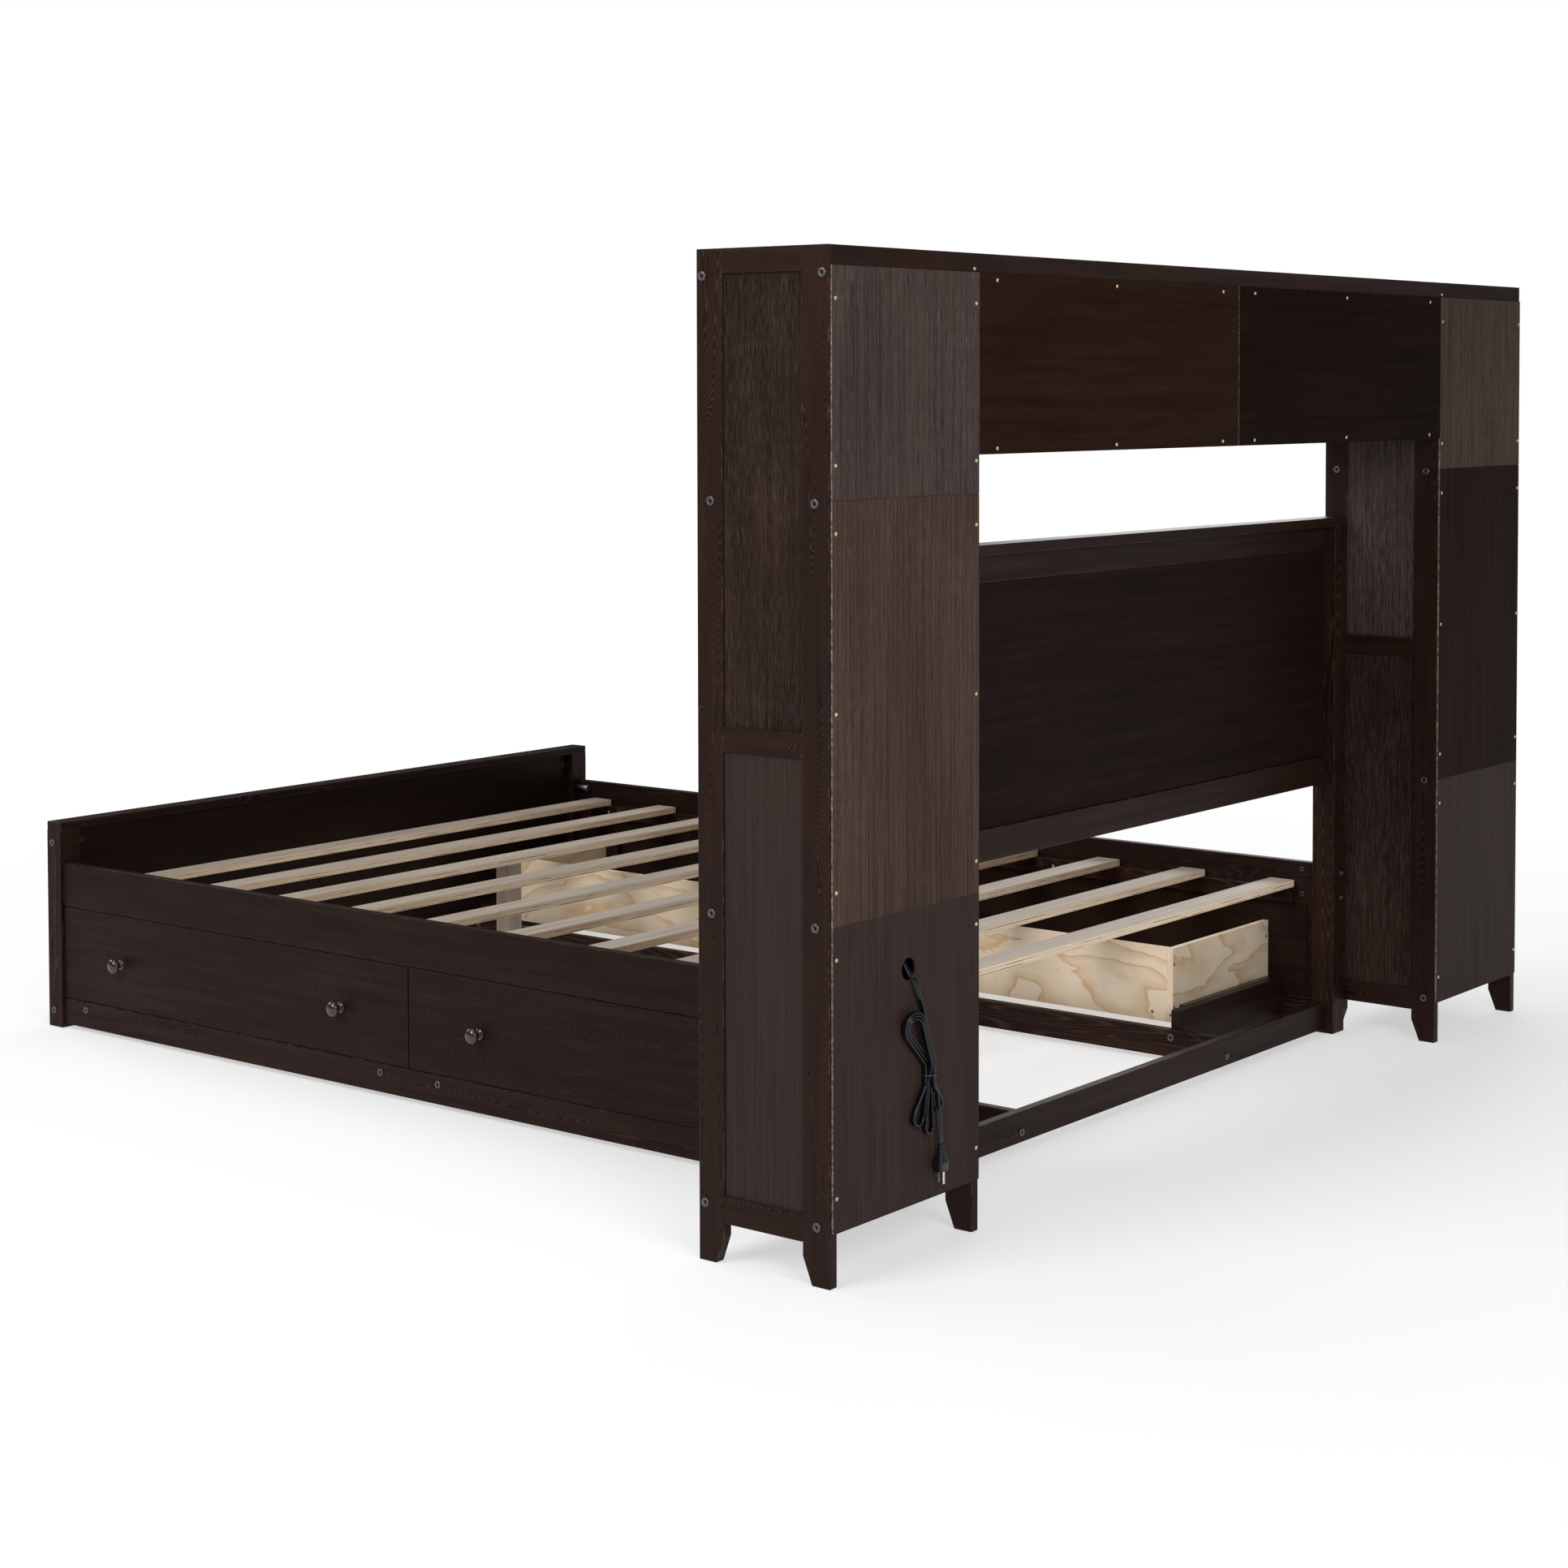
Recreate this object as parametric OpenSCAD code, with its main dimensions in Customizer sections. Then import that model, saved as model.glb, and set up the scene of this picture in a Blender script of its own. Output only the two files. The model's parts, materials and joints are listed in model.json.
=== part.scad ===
// Platform storage bed: a bed frame with four drawers and a headboard, standing between
// two cabinet towers that a bridge cabinet joins above the pillow end.
// +X is to the right when looking from the foot to the head, +Y points to the head end,
// +Z is up, and the origin is on the floor under the centre of the whole piece.

/* [Mattress] */
// Width of the mattress that the bed takes
mattress_w = 1524; // [1200:1:1930]
// Length of the mattress that the bed takes
mattress_l = 2032; // [1600:1:2500]
// Air between the mattress and each side rail
mattress_side_gap = 10; // [4:0.5:30]
// Air left over along the mattress
mattress_end_gap = 2.6; // [0:0.1:30]

/* [Bed frame] */
// Thickness of side rails, shelves and the boards of the bridge
board_t = 18; // [15:0.5:22]
// Width of a bed post along X
post_w = 48; // [40:1:70]
// Depth of a foot post along Y
foot_post_d = 43; // [36:1:60]
// Depth of a head post along Y
head_post_d = 48; // [36:1:60]
// How far the rails' outer faces sit inside the posts' outer faces
rail_inset = 6; // [0:0.5:12]
// Floor clearance under the low rails
low_rail_z = 8; // [4:1:40]
// Height of the low rails
low_rail_h = 54; // [40:1:80]
// Height of the opening that a drawer front fills
drawer_opening_h = 190; // [150:1:300]
// Height of the upper side rails
upper_rail_h = 88; // [70:1:140]
// Height of the headboard with its cap
headboard_h = 1047; // [900:1:1160]
// Height of the footboard with its cap
footboard_h = 423; // [380:1:600]
// Thickness of the headboard's cap
head_cap_t = 18; // [12:1:30]
// Thickness of the footboard's cap
foot_cap_t = 16; // [12:1:30]
// Height of the headboard's top rail
head_top_rail_h = 47; // [30:1:90]
// Height of the headboard's low rail
head_low_rail_h = 55; // [30:1:90]
// Height of the headboard's low rail above the floor
head_low_rail_z = 509; // [380:1:600]
// How far the headboard's rails sit in front of the posts' back faces
head_rail_recess = 20.5; // [10:0.5:22]
// How far the footboard's boards sit behind the foot posts' inner faces
foot_board_recess = 18; // [10:0.5:20]

/* [Slats] */
// Number of slats
slat_n = 10; // [8:1:14]
// Width of a slat
slat_w = 55; // [45:1:80]
// Thickness of a slat
slat_t = 14; // [10:1:20]
// Gap between the head posts and the first slat
slat_head_gap = 50; // [30:1:80]
// Gap between the foot posts and the last slat
slat_foot_gap = 58; // [30:1:80]
// Gap between a slat's end and the side rail
slat_end_gap = 7; // [3:1:12]
// Height of the ledger strips that carry the slats
ledger_h = 31; // [20:1:40]
// Width of the ledger strips
ledger_w = 20; // [16:1:30]
// Height of a slat's underside above the drawer opening
slat_seat = 36; // [32:1:60]
// Side of a square support leg
leg_side = 38; // [30:1:50]

/* [Drawers] */
// Thickness of a drawer front
front_t = 17; // [12:0.5:17.5]
// Gap around a drawer front, up and down
front_gap_z = 1.5; // [1:0.5:4]
// Gap beside a drawer front
front_gap_y = 2.7; // [1.5:0.1:6]
// Width of the filler strip between the last drawer and the head post
filler_w = 22; // [12:1:60]
// How much narrower a drawer box is than its front
box_narrower = 185.25; // [180:0.25:300]
// Depth of a drawer box behind its front
box_d = 383; // [370:1:460]
// Gap between a drawer box's back and the inner rail
box_rail_gap = 27; // [10:1:60]
// Height of a drawer box
box_h = 146; // [100:1:180]
// Thickness of a drawer box's sides and back
box_t = 12; // [9:0.5:18]
// Thickness of a drawer's bottom panel
box_bottom_t = 6; // [3:0.5:9]
// How far a box sits from the middle of its front, away from the bed's middle
box_outset = 4; // [0:1:8]
// Thickness of a closed drawer slide
slide_t = 12.75; // [12.75:0.05:13]
// Length of a closed drawer slide
slide_l = 350; // [250:10:350]
// Height of a drawer slide
slide_h = 30; // [27:1:40]
// Thickness of a guide board
guide_t = 20; // [15:1:24]
// Height of a guide board
guide_h = 80; // [60:1:90]
// Distance of a knob from the end of its front
knob_inset = 180; // [80:1:300]
// Height of the knobs above the floor
knob_z = 152; // [100:1:200]
// Diameter of a knob
knob_d = 30; // [24:1:40]
// How far a knob stands out
knob_out = 29; // [22:1:36]

/* [Towers] */
// Width of a tower
tower_w = 378; // [300:1:500]
// Depth of a tower and of the bridge
tower_d = 247.5; // [220:0.5:330]
// Gap between the bed's posts and a tower
tower_gap = 6; // [2:0.5:20]
// How far the head posts' front faces sit behind the towers' front
bed_setback = 3.5; // [0:0.5:20]
// Thickness of a tower's side frames
side_t = 17; // [15:0.5:22]
// Width of a front stile, which is also the front leg
front_stile_w = 48.5; // [40:0.5:60]
// Width of a back stile, which is also the back leg
back_stile_w = 50.5; // [40:0.5:60]
// Width that each leg tapers to at the floor
leg_toe_w = 33.5; // [25:0.5:40]
// Height at which a leg starts to taper
leg_taper_z = 42; // [20:1:60]
// Height of a tower's bottom rails above the floor
side_bottom_z = 62; // [45:1:75]
// Height of the bottom rails of a side frame
side_bottom_rail_h = 41; // [30:1:60]
// Height of the middle rails of a side frame above the floor
side_mid_z = 771; // [600:1:900]
// Height of the middle and top rails of a side frame
side_rail_h = 37; // [30:1:60]
// Thickness of a side panel
side_panel_t = 6; // [3:0.5:9]
// How deep a side panel sits in its frame
side_panel_recess = 4; // [2:0.5:5]
// Height of the bottom shelf's underside above the floor
bottom_shelf_z = 79; // [60:1:110]
// Clear height of the lower cupboard
lower_bay_h = 420; // [300:1:520]
// Clear height of the open bay above it
middle_bay_h = 598; // [450:1:680]
// Clear height of the top bay
upper_bay_h = 315; // [250:1:360]
// Height of the rim above the top shelf
rim_h = 31; // [20:1:40]
// Clear height of the bridge's bays
bridge_bay_h = 242; // [180:1:300]
// Height of the loose shelf above the open bay's floor
loose_shelf_rise = 290; // [150:1:400]
// Thickness of the back panels
back_t = 3; // [2.5:0.5:6]
// Height of the back panels' lower edges above the floor
back_bottom_z = 82; // [78:1:95]
// Distance of the back panels' edges from the towers' outer sides
back_edge = 4; // [2:0.5:8]

/* [Doors] */
// Gap around a cupboard door
door_gap = 2; // [1.5:0.1:4]
// Width of a door's stiles and rails
door_rail_w = 45; // [35:1:60]
// Thickness of a door's panel
door_panel_t = 6; // [4:0.5:9]
// Radius of a hinge pin
pin_r = 1.5; // [1:0.1:2]
// Radius of a hinge knuckle
knuckle_r = 3.5; // [3:0.1:4.5]
// Height of a hinge
hinge_h = 42; // [30:1:60]
// Distance of a hinge's middle from the door's end
hinge_inset = 70; // [50:1:100]

/* [Power cord] */
// Diameter of the cord hole in the right tower's back
cord_hole_d = 34; // [28:1:50]
// Distance of the cord hole from the tower's inner side
cord_hole_in = 188; // [100:1:240]
// Width of the flat three-core cord
cord_w = 8.5; // [6:0.5:10]
// Thickness of the flat cord
cord_t = 4.2; // [3:0.1:6]

/* [Hidden] */
$fn = 48;
fit_gap = 0.05; // running clearance of a hinge knuckle on its pin
hair = 0.4; // air between parts that pass each other
seam = 0.1; // glue line between the boards of one frame or box
screw_out = 1; // how far a back panel screw's head stands out
screw_l = 14; // length of a back panel screw's shank
bolt_out = 1.8; // how far a bolt's head stands out
bolt_r = 3;
bolt_head_r = 7.3;
nut_r = 5;
nut_l = 14;

// across the bed
inner_w = mattress_w / 2 + mattress_side_gap;
rail_x = inner_w + board_t;
bed_x = rail_x + rail_inset;
tower_x = bed_x + tower_gap;
outer_x = tower_x + tower_w;
bay_in_x = tower_x + side_t;
bay_out_x = outer_x - side_t;

// along the bed
inner_l = mattress_l + mattress_end_gap;
overall_l = bolt_out + foot_post_d + inner_l + tower_d - bed_setback + back_t + screw_out;
foot_y = bolt_out - overall_l / 2;
foot_in_y = foot_y + foot_post_d;
head_in_y = foot_in_y + inner_l;
head_out_y = head_in_y + head_post_d;
front_y = head_in_y - bed_setback;
back_y = front_y + tower_d;
back_out_y = back_y + back_t;
foot_board_y = foot_in_y - foot_board_recess - board_t;

// up the bed
low_top_z = low_rail_z + low_rail_h;
upper_z = low_top_z + drawer_opening_h;
upper_top_z = upper_z + upper_rail_h;
slat_z = upper_z + slat_seat;
slat_len = 2 * (inner_w - slat_end_gap);
slat_pitch = (inner_l - slat_head_gap - slat_foot_gap - slat_w) / (slat_n - 1);
leg_slats = [2, slat_n - 3];

// drawers
front_w = (inner_l - filler_w - 3 * front_gap_y) / 2;
front_z = low_top_z + front_gap_z;
front_h = drawer_opening_h - 2 * front_gap_z;
front_mid_y = [for (i = [0, 1]) foot_in_y + front_gap_y + front_w / 2 + i * (front_w + front_gap_y)];
knob_spread = front_w / 2 - knob_inset;
box_w = front_w - box_narrower;
box_mid_y = [front_mid_y[0] - box_outset, front_mid_y[1] + box_outset];
front_back_x = rail_x - front_t;
box_back_x = front_back_x - box_d;
inner_rail_x = box_back_x - box_rail_gap - board_t / 2;
box_z = low_top_z + 3;
box_bottom_z = box_z + box_t / 2;
slide_z = box_z + 1.5;
slide_out_x = front_back_x - 8;
guide_z = slide_z + slide_h + 0.5 - guide_h;
guide_y = [for (m = box_mid_y, s = [-1, 1]) m + s * (box_w / 2 + slide_t + guide_t / 2)];
channel_t = 2;
block_w = 38;
block_t = 18;

// towers
shelf_z = [
    bottom_shelf_z,
    bottom_shelf_z + board_t + lower_bay_h,
    bottom_shelf_z + 2 * board_t + lower_bay_h + middle_bay_h,
    bottom_shelf_z + 3 * board_t + lower_bay_h + middle_bay_h + upper_bay_h
];
rim_z = shelf_z[3] + board_t;
tower_h = rim_z + rim_h;
bridge_z = shelf_z[3] - bridge_bay_h - board_t;
loose_z = shelf_z[1] + board_t + loose_shelf_rise;
loose_t = 15;
shelf_pin_r = 2.5;
panel_lap = [12, 14, 2]; // how far the back panels' seams lie above a shelf's underside, and above the top
seam_z = [back_bottom_z, shelf_z[1] + panel_lap[0], shelf_z[2] + panel_lap[1], rim_z + panel_lap[2]];

// doors
door_z = shelf_z[0] + board_t + door_gap;
door_h = lower_bay_h - 2 * door_gap;
door_in_x = bay_in_x + door_gap;
door_out_x = bay_out_x - door_gap;
pin_x = bay_out_x - door_gap / 2;
pin_y = front_y - knuckle_r - 0.2;
leaf_t = (door_gap - hair) / 2;
leaf_w = 16;
hinge_z = [door_z + hinge_inset, door_z + door_h - hinge_inset];
door_knob_z = door_z + door_h - 90;

// head and foot boards
head_rail_y = head_out_y - head_rail_recess;
head_panel_t = 9;
head_panel_y = head_rail_y - head_panel_t - 4;

// power unit, set in a notch at the back of the right tower's night shelf
unit_w = 118;
unit_d = 58;
unit_drop = 27; // how far it hangs below the shelf
unit_back_gap = 2;
unit_z = shelf_z[1] - unit_drop;
plate_t = 3;
plate_rim = 6;

// the cord hole, as far below the power unit as the cord's lead hangs down to it
cord_drop = 50;
cord_hole_x = tower_x + cord_hole_in;
cord_hole_z = unit_z - cord_drop;

// the cord's routes, from the middle of the hole on the back panel's outer face
cord_lead_route = [
    [0, -13, cord_drop], [0, -13, 40], [0, -13, 30], [-1, -12.6, 20], [-1, -10.5, 11],
    [-2, -6.5, 2], [-3, -2, -5], [-4, 2.5, -12], [-7, 6, -20], [-10, 7.6, -29],
    [-14, 8, -40], [-20, 8, -53], [-26, 8, -68], [-31, 8, -84], [-35, 8, -100],
    [-37, 8, -116]
];
cord_tail_route = [
    [-57, 12, -196], [-58, 12, -210], [-60, 12, -225], [-62, 12, -240], [-64, 12, -253],
    [-66, 12, -266], [-67, 12, -276]
];
hank_top = [-1, -86, 24];
hank_tie = [-45, -165, 17];
hank_left = [-15, -226, 15];
hank_right = [-67, -218, 13];
hank_low = [-43, -241, 18];
hank_y = [1.5, 18.5];
plug_top = [-67, 12, -276];

espresso = [0.13, 0.085, 0.07];
veneer = [0.24, 0.19, 0.17];
pine = [0.82, 0.72, 0.56];
slat_wood = [0.72, 0.66, 0.58];
gunmetal = [0.3, 0.32, 0.34];
bronze = [0.2, 0.13, 0.1];
black_pvc = [0.05, 0.05, 0.055];
brass_zinc = [0.78, 0.68, 0.48];

// ---- shapes that repeat ----

// a board from its lowest corner to its highest
module board(low, high) {
    translate(low) cube(high - low);
}

// the children, and the same mirrored to the other side of the bed
module both_sides() {
    children();
    mirror([1, 0, 0]) children();
}

// the children on the right side, or mirrored to the left side
module on_side(side) {
    mirror([side < 0 ? 1 : 0, 0, 0]) children();
}

// a rounded knob along +X from its seat at the origin
module knob() {
    r = knob_d / 2;
    rotate([0, 90, 0]) rotate_extrude() union() {
        square([r * 0.55, 3]);
        square([r * 0.36, knob_out - 9]);
        translate([0, knob_out - 12]) intersection() {
            translate([0, 3]) scale([1, 0.6]) circle(r);
            square([r, 12]);
        }
        translate([0, knob_out - 12]) polygon([[0, -4], [r * 0.36, -4], [r * 0.95, 3], [0, 3]]);
    }
}

// a bolt with a wide flat head, its head's underside at the origin and its shank along -Z
module bolt(len) {
    shank = [[0, -len], [bolt_r, -len], [bolt_r, 0]];
    head = [[bolt_head_r, 0], [bolt_head_r, bolt_out - 0.7], [bolt_head_r - 0.8, bolt_out], [0, bolt_out]];
    rotate_extrude() polygon(concat(shank, head));
}

// the same bolt with its head towards +X or -X, or towards +Y or -Y
module bolt_x(at, side, len = 32) {
    translate(at) rotate([0, side * 90, 0]) bolt(len);
}
module bolt_y(at, side, len = 32) {
    translate(at) rotate([-side * 90, 0, 0]) bolt(len);
}

// the barrel nut at the end of a long bolt, pressed into a board from its inner face
module nut_x(at) {
    translate(at) rotate([0, 90, 0]) cylinder(h = nut_l, r = nut_r);
}
module nut_y(at) {
    translate(at) rotate([90, 0, 0]) cylinder(h = nut_l, r = nut_r);
}

// a back panel screw, its head against the panel and its shank into the wood
module back_screw(x, y, z) {
    translate([x, y, z]) rotate([-90, 0, 0]) rotate_extrude()
        polygon([[0, -screw_l], [1.6, -screw_l], [1.6, 0], [3.2, 0], [2.6, screw_out], [0, screw_out]]);
}

// ---- bed frame ----

module headboard_posts() {
    color(espresso) both_sides()
        board([bed_x - post_w, head_in_y, 0], [bed_x, head_out_y, headboard_h - head_cap_t]);
}

module headboard_rails() {
    x = bed_x - post_w;
    rails = [
        [low_rail_z, low_top_z],
        [head_low_rail_z, head_low_rail_z + head_low_rail_h],
        [headboard_h - head_cap_t - head_top_rail_h, headboard_h - head_cap_t]
    ];
    color(espresso) for (r = rails)
        board([-x, head_rail_y - board_t, r[0]], [x, head_rail_y, r[1]]);
}

module headboard_panel() {
    x = bed_x - post_w;
    z = [head_low_rail_z + head_low_rail_h, headboard_h - head_cap_t - head_top_rail_h];
    color(espresso) board([-x, head_panel_y, z[0]], [x, head_panel_y + head_panel_t, z[1]]);
}

module headboard_cap() {
    color(espresso)
        board([-bed_x, head_in_y, headboard_h - head_cap_t], [bed_x, head_out_y, headboard_h]);
}

module footboard_posts() {
    color(espresso) both_sides()
        board([bed_x - post_w, foot_y, 0], [bed_x, foot_in_y, footboard_h - foot_cap_t]);
}

module footboard_rails() {
    x = bed_x - post_w;
    color(espresso) board([-x, foot_board_y, low_rail_z], [x, foot_board_y + board_t, low_top_z]);
}

module footboard_panel() {
    x = bed_x - post_w;
    color(espresso)
        board([-x, foot_board_y, low_top_z], [x, foot_board_y + board_t, footboard_h - foot_cap_t]);
}

module footboard_cap() {
    color(espresso)
        board([-bed_x, foot_y, footboard_h - foot_cap_t], [bed_x, foot_in_y, footboard_h]);
}

module upper_side_rails() {
    color(espresso) both_sides()
        board([inner_w, foot_in_y, upper_z], [rail_x, head_in_y, upper_top_z]);
}

module low_side_rails() {
    color(espresso) both_sides()
        board([inner_w, foot_in_y, low_rail_z], [rail_x, head_in_y, low_top_z]);
}

module inner_rails() {
    y = [foot_board_y + board_t, head_rail_y - board_t];
    x = [inner_rail_x - board_t / 2, inner_rail_x + board_t / 2];
    color(espresso) both_sides() board([x[0], y[0], low_rail_z], [x[1], y[1], low_top_z]);
}

module drawer_guides() {
    x = inner_rail_x + board_t / 2;
    color(espresso) both_sides() for (y = guide_y)
        board([x, y - guide_t / 2, guide_z], [inner_w, y + guide_t / 2, guide_z + guide_h]);
}

// the fixed half of each drawer slide: a channel that opens towards the drawer box
module slide_channels() {
    lip = slide_t - hair;
    color(gunmetal) both_sides() for (m = box_mid_y, s = [-1, 1]) translate([0, m, 0]) scale([1, s, 1])
        translate([slide_out_x - slide_l, box_w / 2 + slide_t, slide_z]) {
            translate([0, -channel_t, 0]) cube([slide_l, channel_t, slide_h]);
            translate([0, -lip, 0]) cube([slide_l, lip, 1.5]);
            translate([0, -lip, slide_h - 1.5]) cube([slide_l, lip, 1.5]);
        }
}

module slat_ledgers() {
    color(espresso) both_sides()
        board([inner_w - ledger_w, foot_in_y + slat_foot_gap - 2, slat_z - ledger_h],
              [inner_w, head_in_y - slat_head_gap, slat_z]);
}

module slats() {
    color(slat_wood) for (i = [0 : slat_n - 1]) {
        y = head_in_y - slat_head_gap - i * slat_pitch;
        board([-slat_len / 2, y - slat_w, slat_z], [slat_len / 2, y, slat_z + slat_t]);
    }
}

module slat_legs() {
    color(slat_wood) for (i = leg_slats) {
        y = head_in_y - slat_head_gap - i * slat_pitch - slat_w / 2;
        board([-leg_side / 2, y - leg_side / 2, 0], [leg_side / 2, y + leg_side / 2, slat_z]);
    }
}

module end_fillers() {
    color(espresso) both_sides()
        board([inner_w, head_in_y - filler_w, low_top_z], [rail_x, head_in_y, upper_z]);
}

// ---- drawers: side is 1 for right and -1 for left, row is 0 for foot and 1 for head ----

module drawer_front(side, row) {
    y = front_mid_y[row];
    m = box_mid_y[row];
    color(espresso) on_side(side) {
        board([front_back_x, y - front_w / 2, front_z], [rail_x, y + front_w / 2, front_z + front_h]);
        for (s = [-1, 1]) translate([0, m, 0]) scale([1, s, 1])
            board([front_back_x - block_t, box_w / 2 - box_t - block_w, box_bottom_z + box_bottom_t],
                  [front_back_x - seam, box_w / 2 - box_t, box_z + box_h - 15]);
    }
}

module drawer_box(side, row) {
    m = box_mid_y[row];
    in_w = box_w / 2 - box_t;
    color(pine) on_side(side) translate([0, m, 0]) {
        for (s = [-1, 1]) scale([1, s, 1])
            board([box_back_x, in_w, box_z], [front_back_x, box_w / 2, box_z + box_h]);
        board([box_back_x, -in_w + seam, box_z], [box_back_x + box_t, in_w - seam, box_z + box_h]);
        board([box_back_x + box_t + seam, -in_w + seam, box_bottom_z],
              [front_back_x, in_w - seam, box_bottom_z + box_bottom_t]);
    }
}

module drawer_knobs(side, row) {
    color(bronze) on_side(side) for (s = [-1, 1])
        translate([rail_x, front_mid_y[row] + s * knob_spread, knob_z]) knob();
}

// the moving half of the slides, fixed to the box
module drawer_slides(side, row) {
    h = slide_h - 5;
    d = slide_t - channel_t - 2;
    z = slide_z + 2.5;
    color(gunmetal) on_side(side) for (s = [-1, 1]) translate([0, box_mid_y[row], 0]) scale([1, s, 1])
        board([slide_out_x - slide_l, box_w / 2, z], [slide_out_x, box_w / 2 + d, z + h]);
}

// ---- towers ----

// a leg and stile in the YZ plane that tapers on one edge below leg_taper_z
module stile(x0, x1, y0, w, taper_at_high_y, h) {
    cut = w - leg_toe_w;
    toe = taper_at_high_y ? [0, leg_toe_w] : [cut, w];
    points = [[toe[0], 0], [toe[1], 0], [w, leg_taper_z], [w, h], [0, h], [0, leg_taper_z]];
    translate([x1, y0, 0]) rotate([90, 0, -90]) mirror([1, 0, 0]) linear_extrude(x1 - x0) polygon(points);
}

// one side frame: two stiles and three rails
module side_frame(x0, h) {
    x1 = x0 + side_t;
    y = [front_y + front_stile_w + seam, back_y - back_stile_w - seam];
    stile(x0, x1, front_y, front_stile_w, true, h);
    stile(x0, x1, back_y - back_stile_w, back_stile_w, false, h);
    board([x0, y[0], side_bottom_z], [x1, y[1], side_bottom_z + side_bottom_rail_h]);
    board([x0, y[0], side_mid_z], [x1, y[1], side_mid_z + side_rail_h]);
    board([x0, y[0], h - side_rail_h], [x1, y[1], h]);
}

module tower_frames(side) {
    color(espresso) on_side(side) {
        side_frame(bay_out_x, tower_h);
        side_frame(tower_x, rim_z);
    }
}

// the thin panels that fill the side frames, two in each
module tower_panels(side) {
    y = [front_y + front_stile_w, back_y - back_stile_w];
    low = [side_bottom_z + side_bottom_rail_h, side_mid_z];
    color(veneer) on_side(side) {
        for (z = [low, [side_mid_z + side_rail_h, tower_h - side_rail_h]])
            board([outer_x - side_panel_recess - side_panel_t, y[0], z[0]],
                  [outer_x - side_panel_recess, y[1], z[1]]);
        for (z = [low, [side_mid_z + side_rail_h, rim_z - side_rail_h]])
            board([tower_x + side_panel_recess, y[0], z[0]],
                  [tower_x + side_panel_recess + side_panel_t, y[1], z[1]]);
    }
}

// four fixed shelves and a loose one on pins
// the right tower's night shelf is notched for the power unit
module tower_shelves(side) {
    notch_d = unit_d + unit_back_gap;
    module shelf(z) {
        board([bay_in_x, front_y, z], [bay_out_x, back_y, z + board_t]);
    }
    color(espresso) on_side(side) {
        for (i = [0, 2, 3]) shelf(shelf_z[i]);
        difference() {
            shelf(shelf_z[1]);
            if (side > 0) translate([cord_hole_x - unit_w / 2, back_y - notch_d, shelf_z[1] - 1])
                cube([unit_w, notch_d + 1, board_t + 2]);
        }
        board([bay_in_x + 1.5, front_y + 20, loose_z], [bay_out_x - 1.5, back_y - 2, loose_z + loose_t]);
    }
    pin_l = 7;
    color(gunmetal) on_side(side) for (x = [bay_in_x, bay_out_x - pin_l], y = [front_y + 45, back_y - 30])
        translate([x, y, loose_z - shelf_pin_r]) rotate([0, 90, 0]) cylinder(h = pin_l, r = shelf_pin_r);
}

// three thin panels over the tower's back; the right tower's lowest one has the cord hole
module tower_back(side) {
    color(veneer) on_side(side) difference() {
        for (i = [0 : 2])
            board([tower_x + 2, back_y, seam_z[i]], [outer_x - back_edge, back_out_y, seam_z[i + 1] - 0.5]);
        if (side > 0) translate([cord_hole_x, back_y - 1, cord_hole_z]) rotate([-90, 0, 0])
            cylinder(h = back_t + 2, d = cord_hole_d);
    }
}

// ---- cupboard doors ----

module door(side) {
    x = [door_in_x, door_out_x];
    z = [door_z, door_z + door_h];
    y = [front_y, front_y + board_t];
    w = door_rail_w;
    color(espresso) on_side(side) {
        board([x[0], y[0], z[0]], [x[0] + w, y[1], z[1]]);
        board([x[1] - w, y[0], z[0]], [x[1], y[1], z[1]]);
        board([x[0] + w + seam, y[0], z[0]], [x[1] - w - seam, y[1], z[0] + w]);
        board([x[0] + w + seam, y[0], z[1] - w], [x[1] - w - seam, y[1], z[1]]);
        board([x[0] + w + seam, y[0] + 6, z[0] + w + seam],
              [x[1] - w - seam, y[0] + 6 + door_panel_t, z[1] - w - seam]);
    }
}

module door_knob(side) {
    color(bronze) on_side(side)
        translate([door_in_x + door_rail_w / 2, front_y, door_knob_z]) rotate([0, 0, -90]) knob();
}

// a stack of knuckle rings around the hinge axis, bored to radius r
module knuckle(z, h, r) {
    translate([0, 0, z]) difference() {
        cylinder(h = h, r = knuckle_r);
        translate([0, 0, -1]) cylinder(h = h + 2, r = r);
    }
}

// the moving leaves: a plate on the door's edge and the middle knuckle
module door_hinges(side) {
    third = hinge_h / 3;
    r = pin_r + fit_gap;
    color(gunmetal) on_side(side) for (z = hinge_z) translate([pin_x, pin_y, z]) difference() {
        union() {
            knuckle(-third / 2 + hair, third - 2 * hair, r);
            translate([-knuckle_r, 0, -third / 2 + hair])
                cube([knuckle_r - door_gap / 2 + leaf_t, knuckle_r + 0.2, third - 2 * hair]);
            translate([-door_gap / 2, knuckle_r + 0.2, -hinge_h / 2])
                cube([leaf_t, leaf_w, hinge_h]);
        }
        translate([0, 0, -hinge_h]) cylinder(h = 2 * hinge_h, r = r);
    }
}

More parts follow.
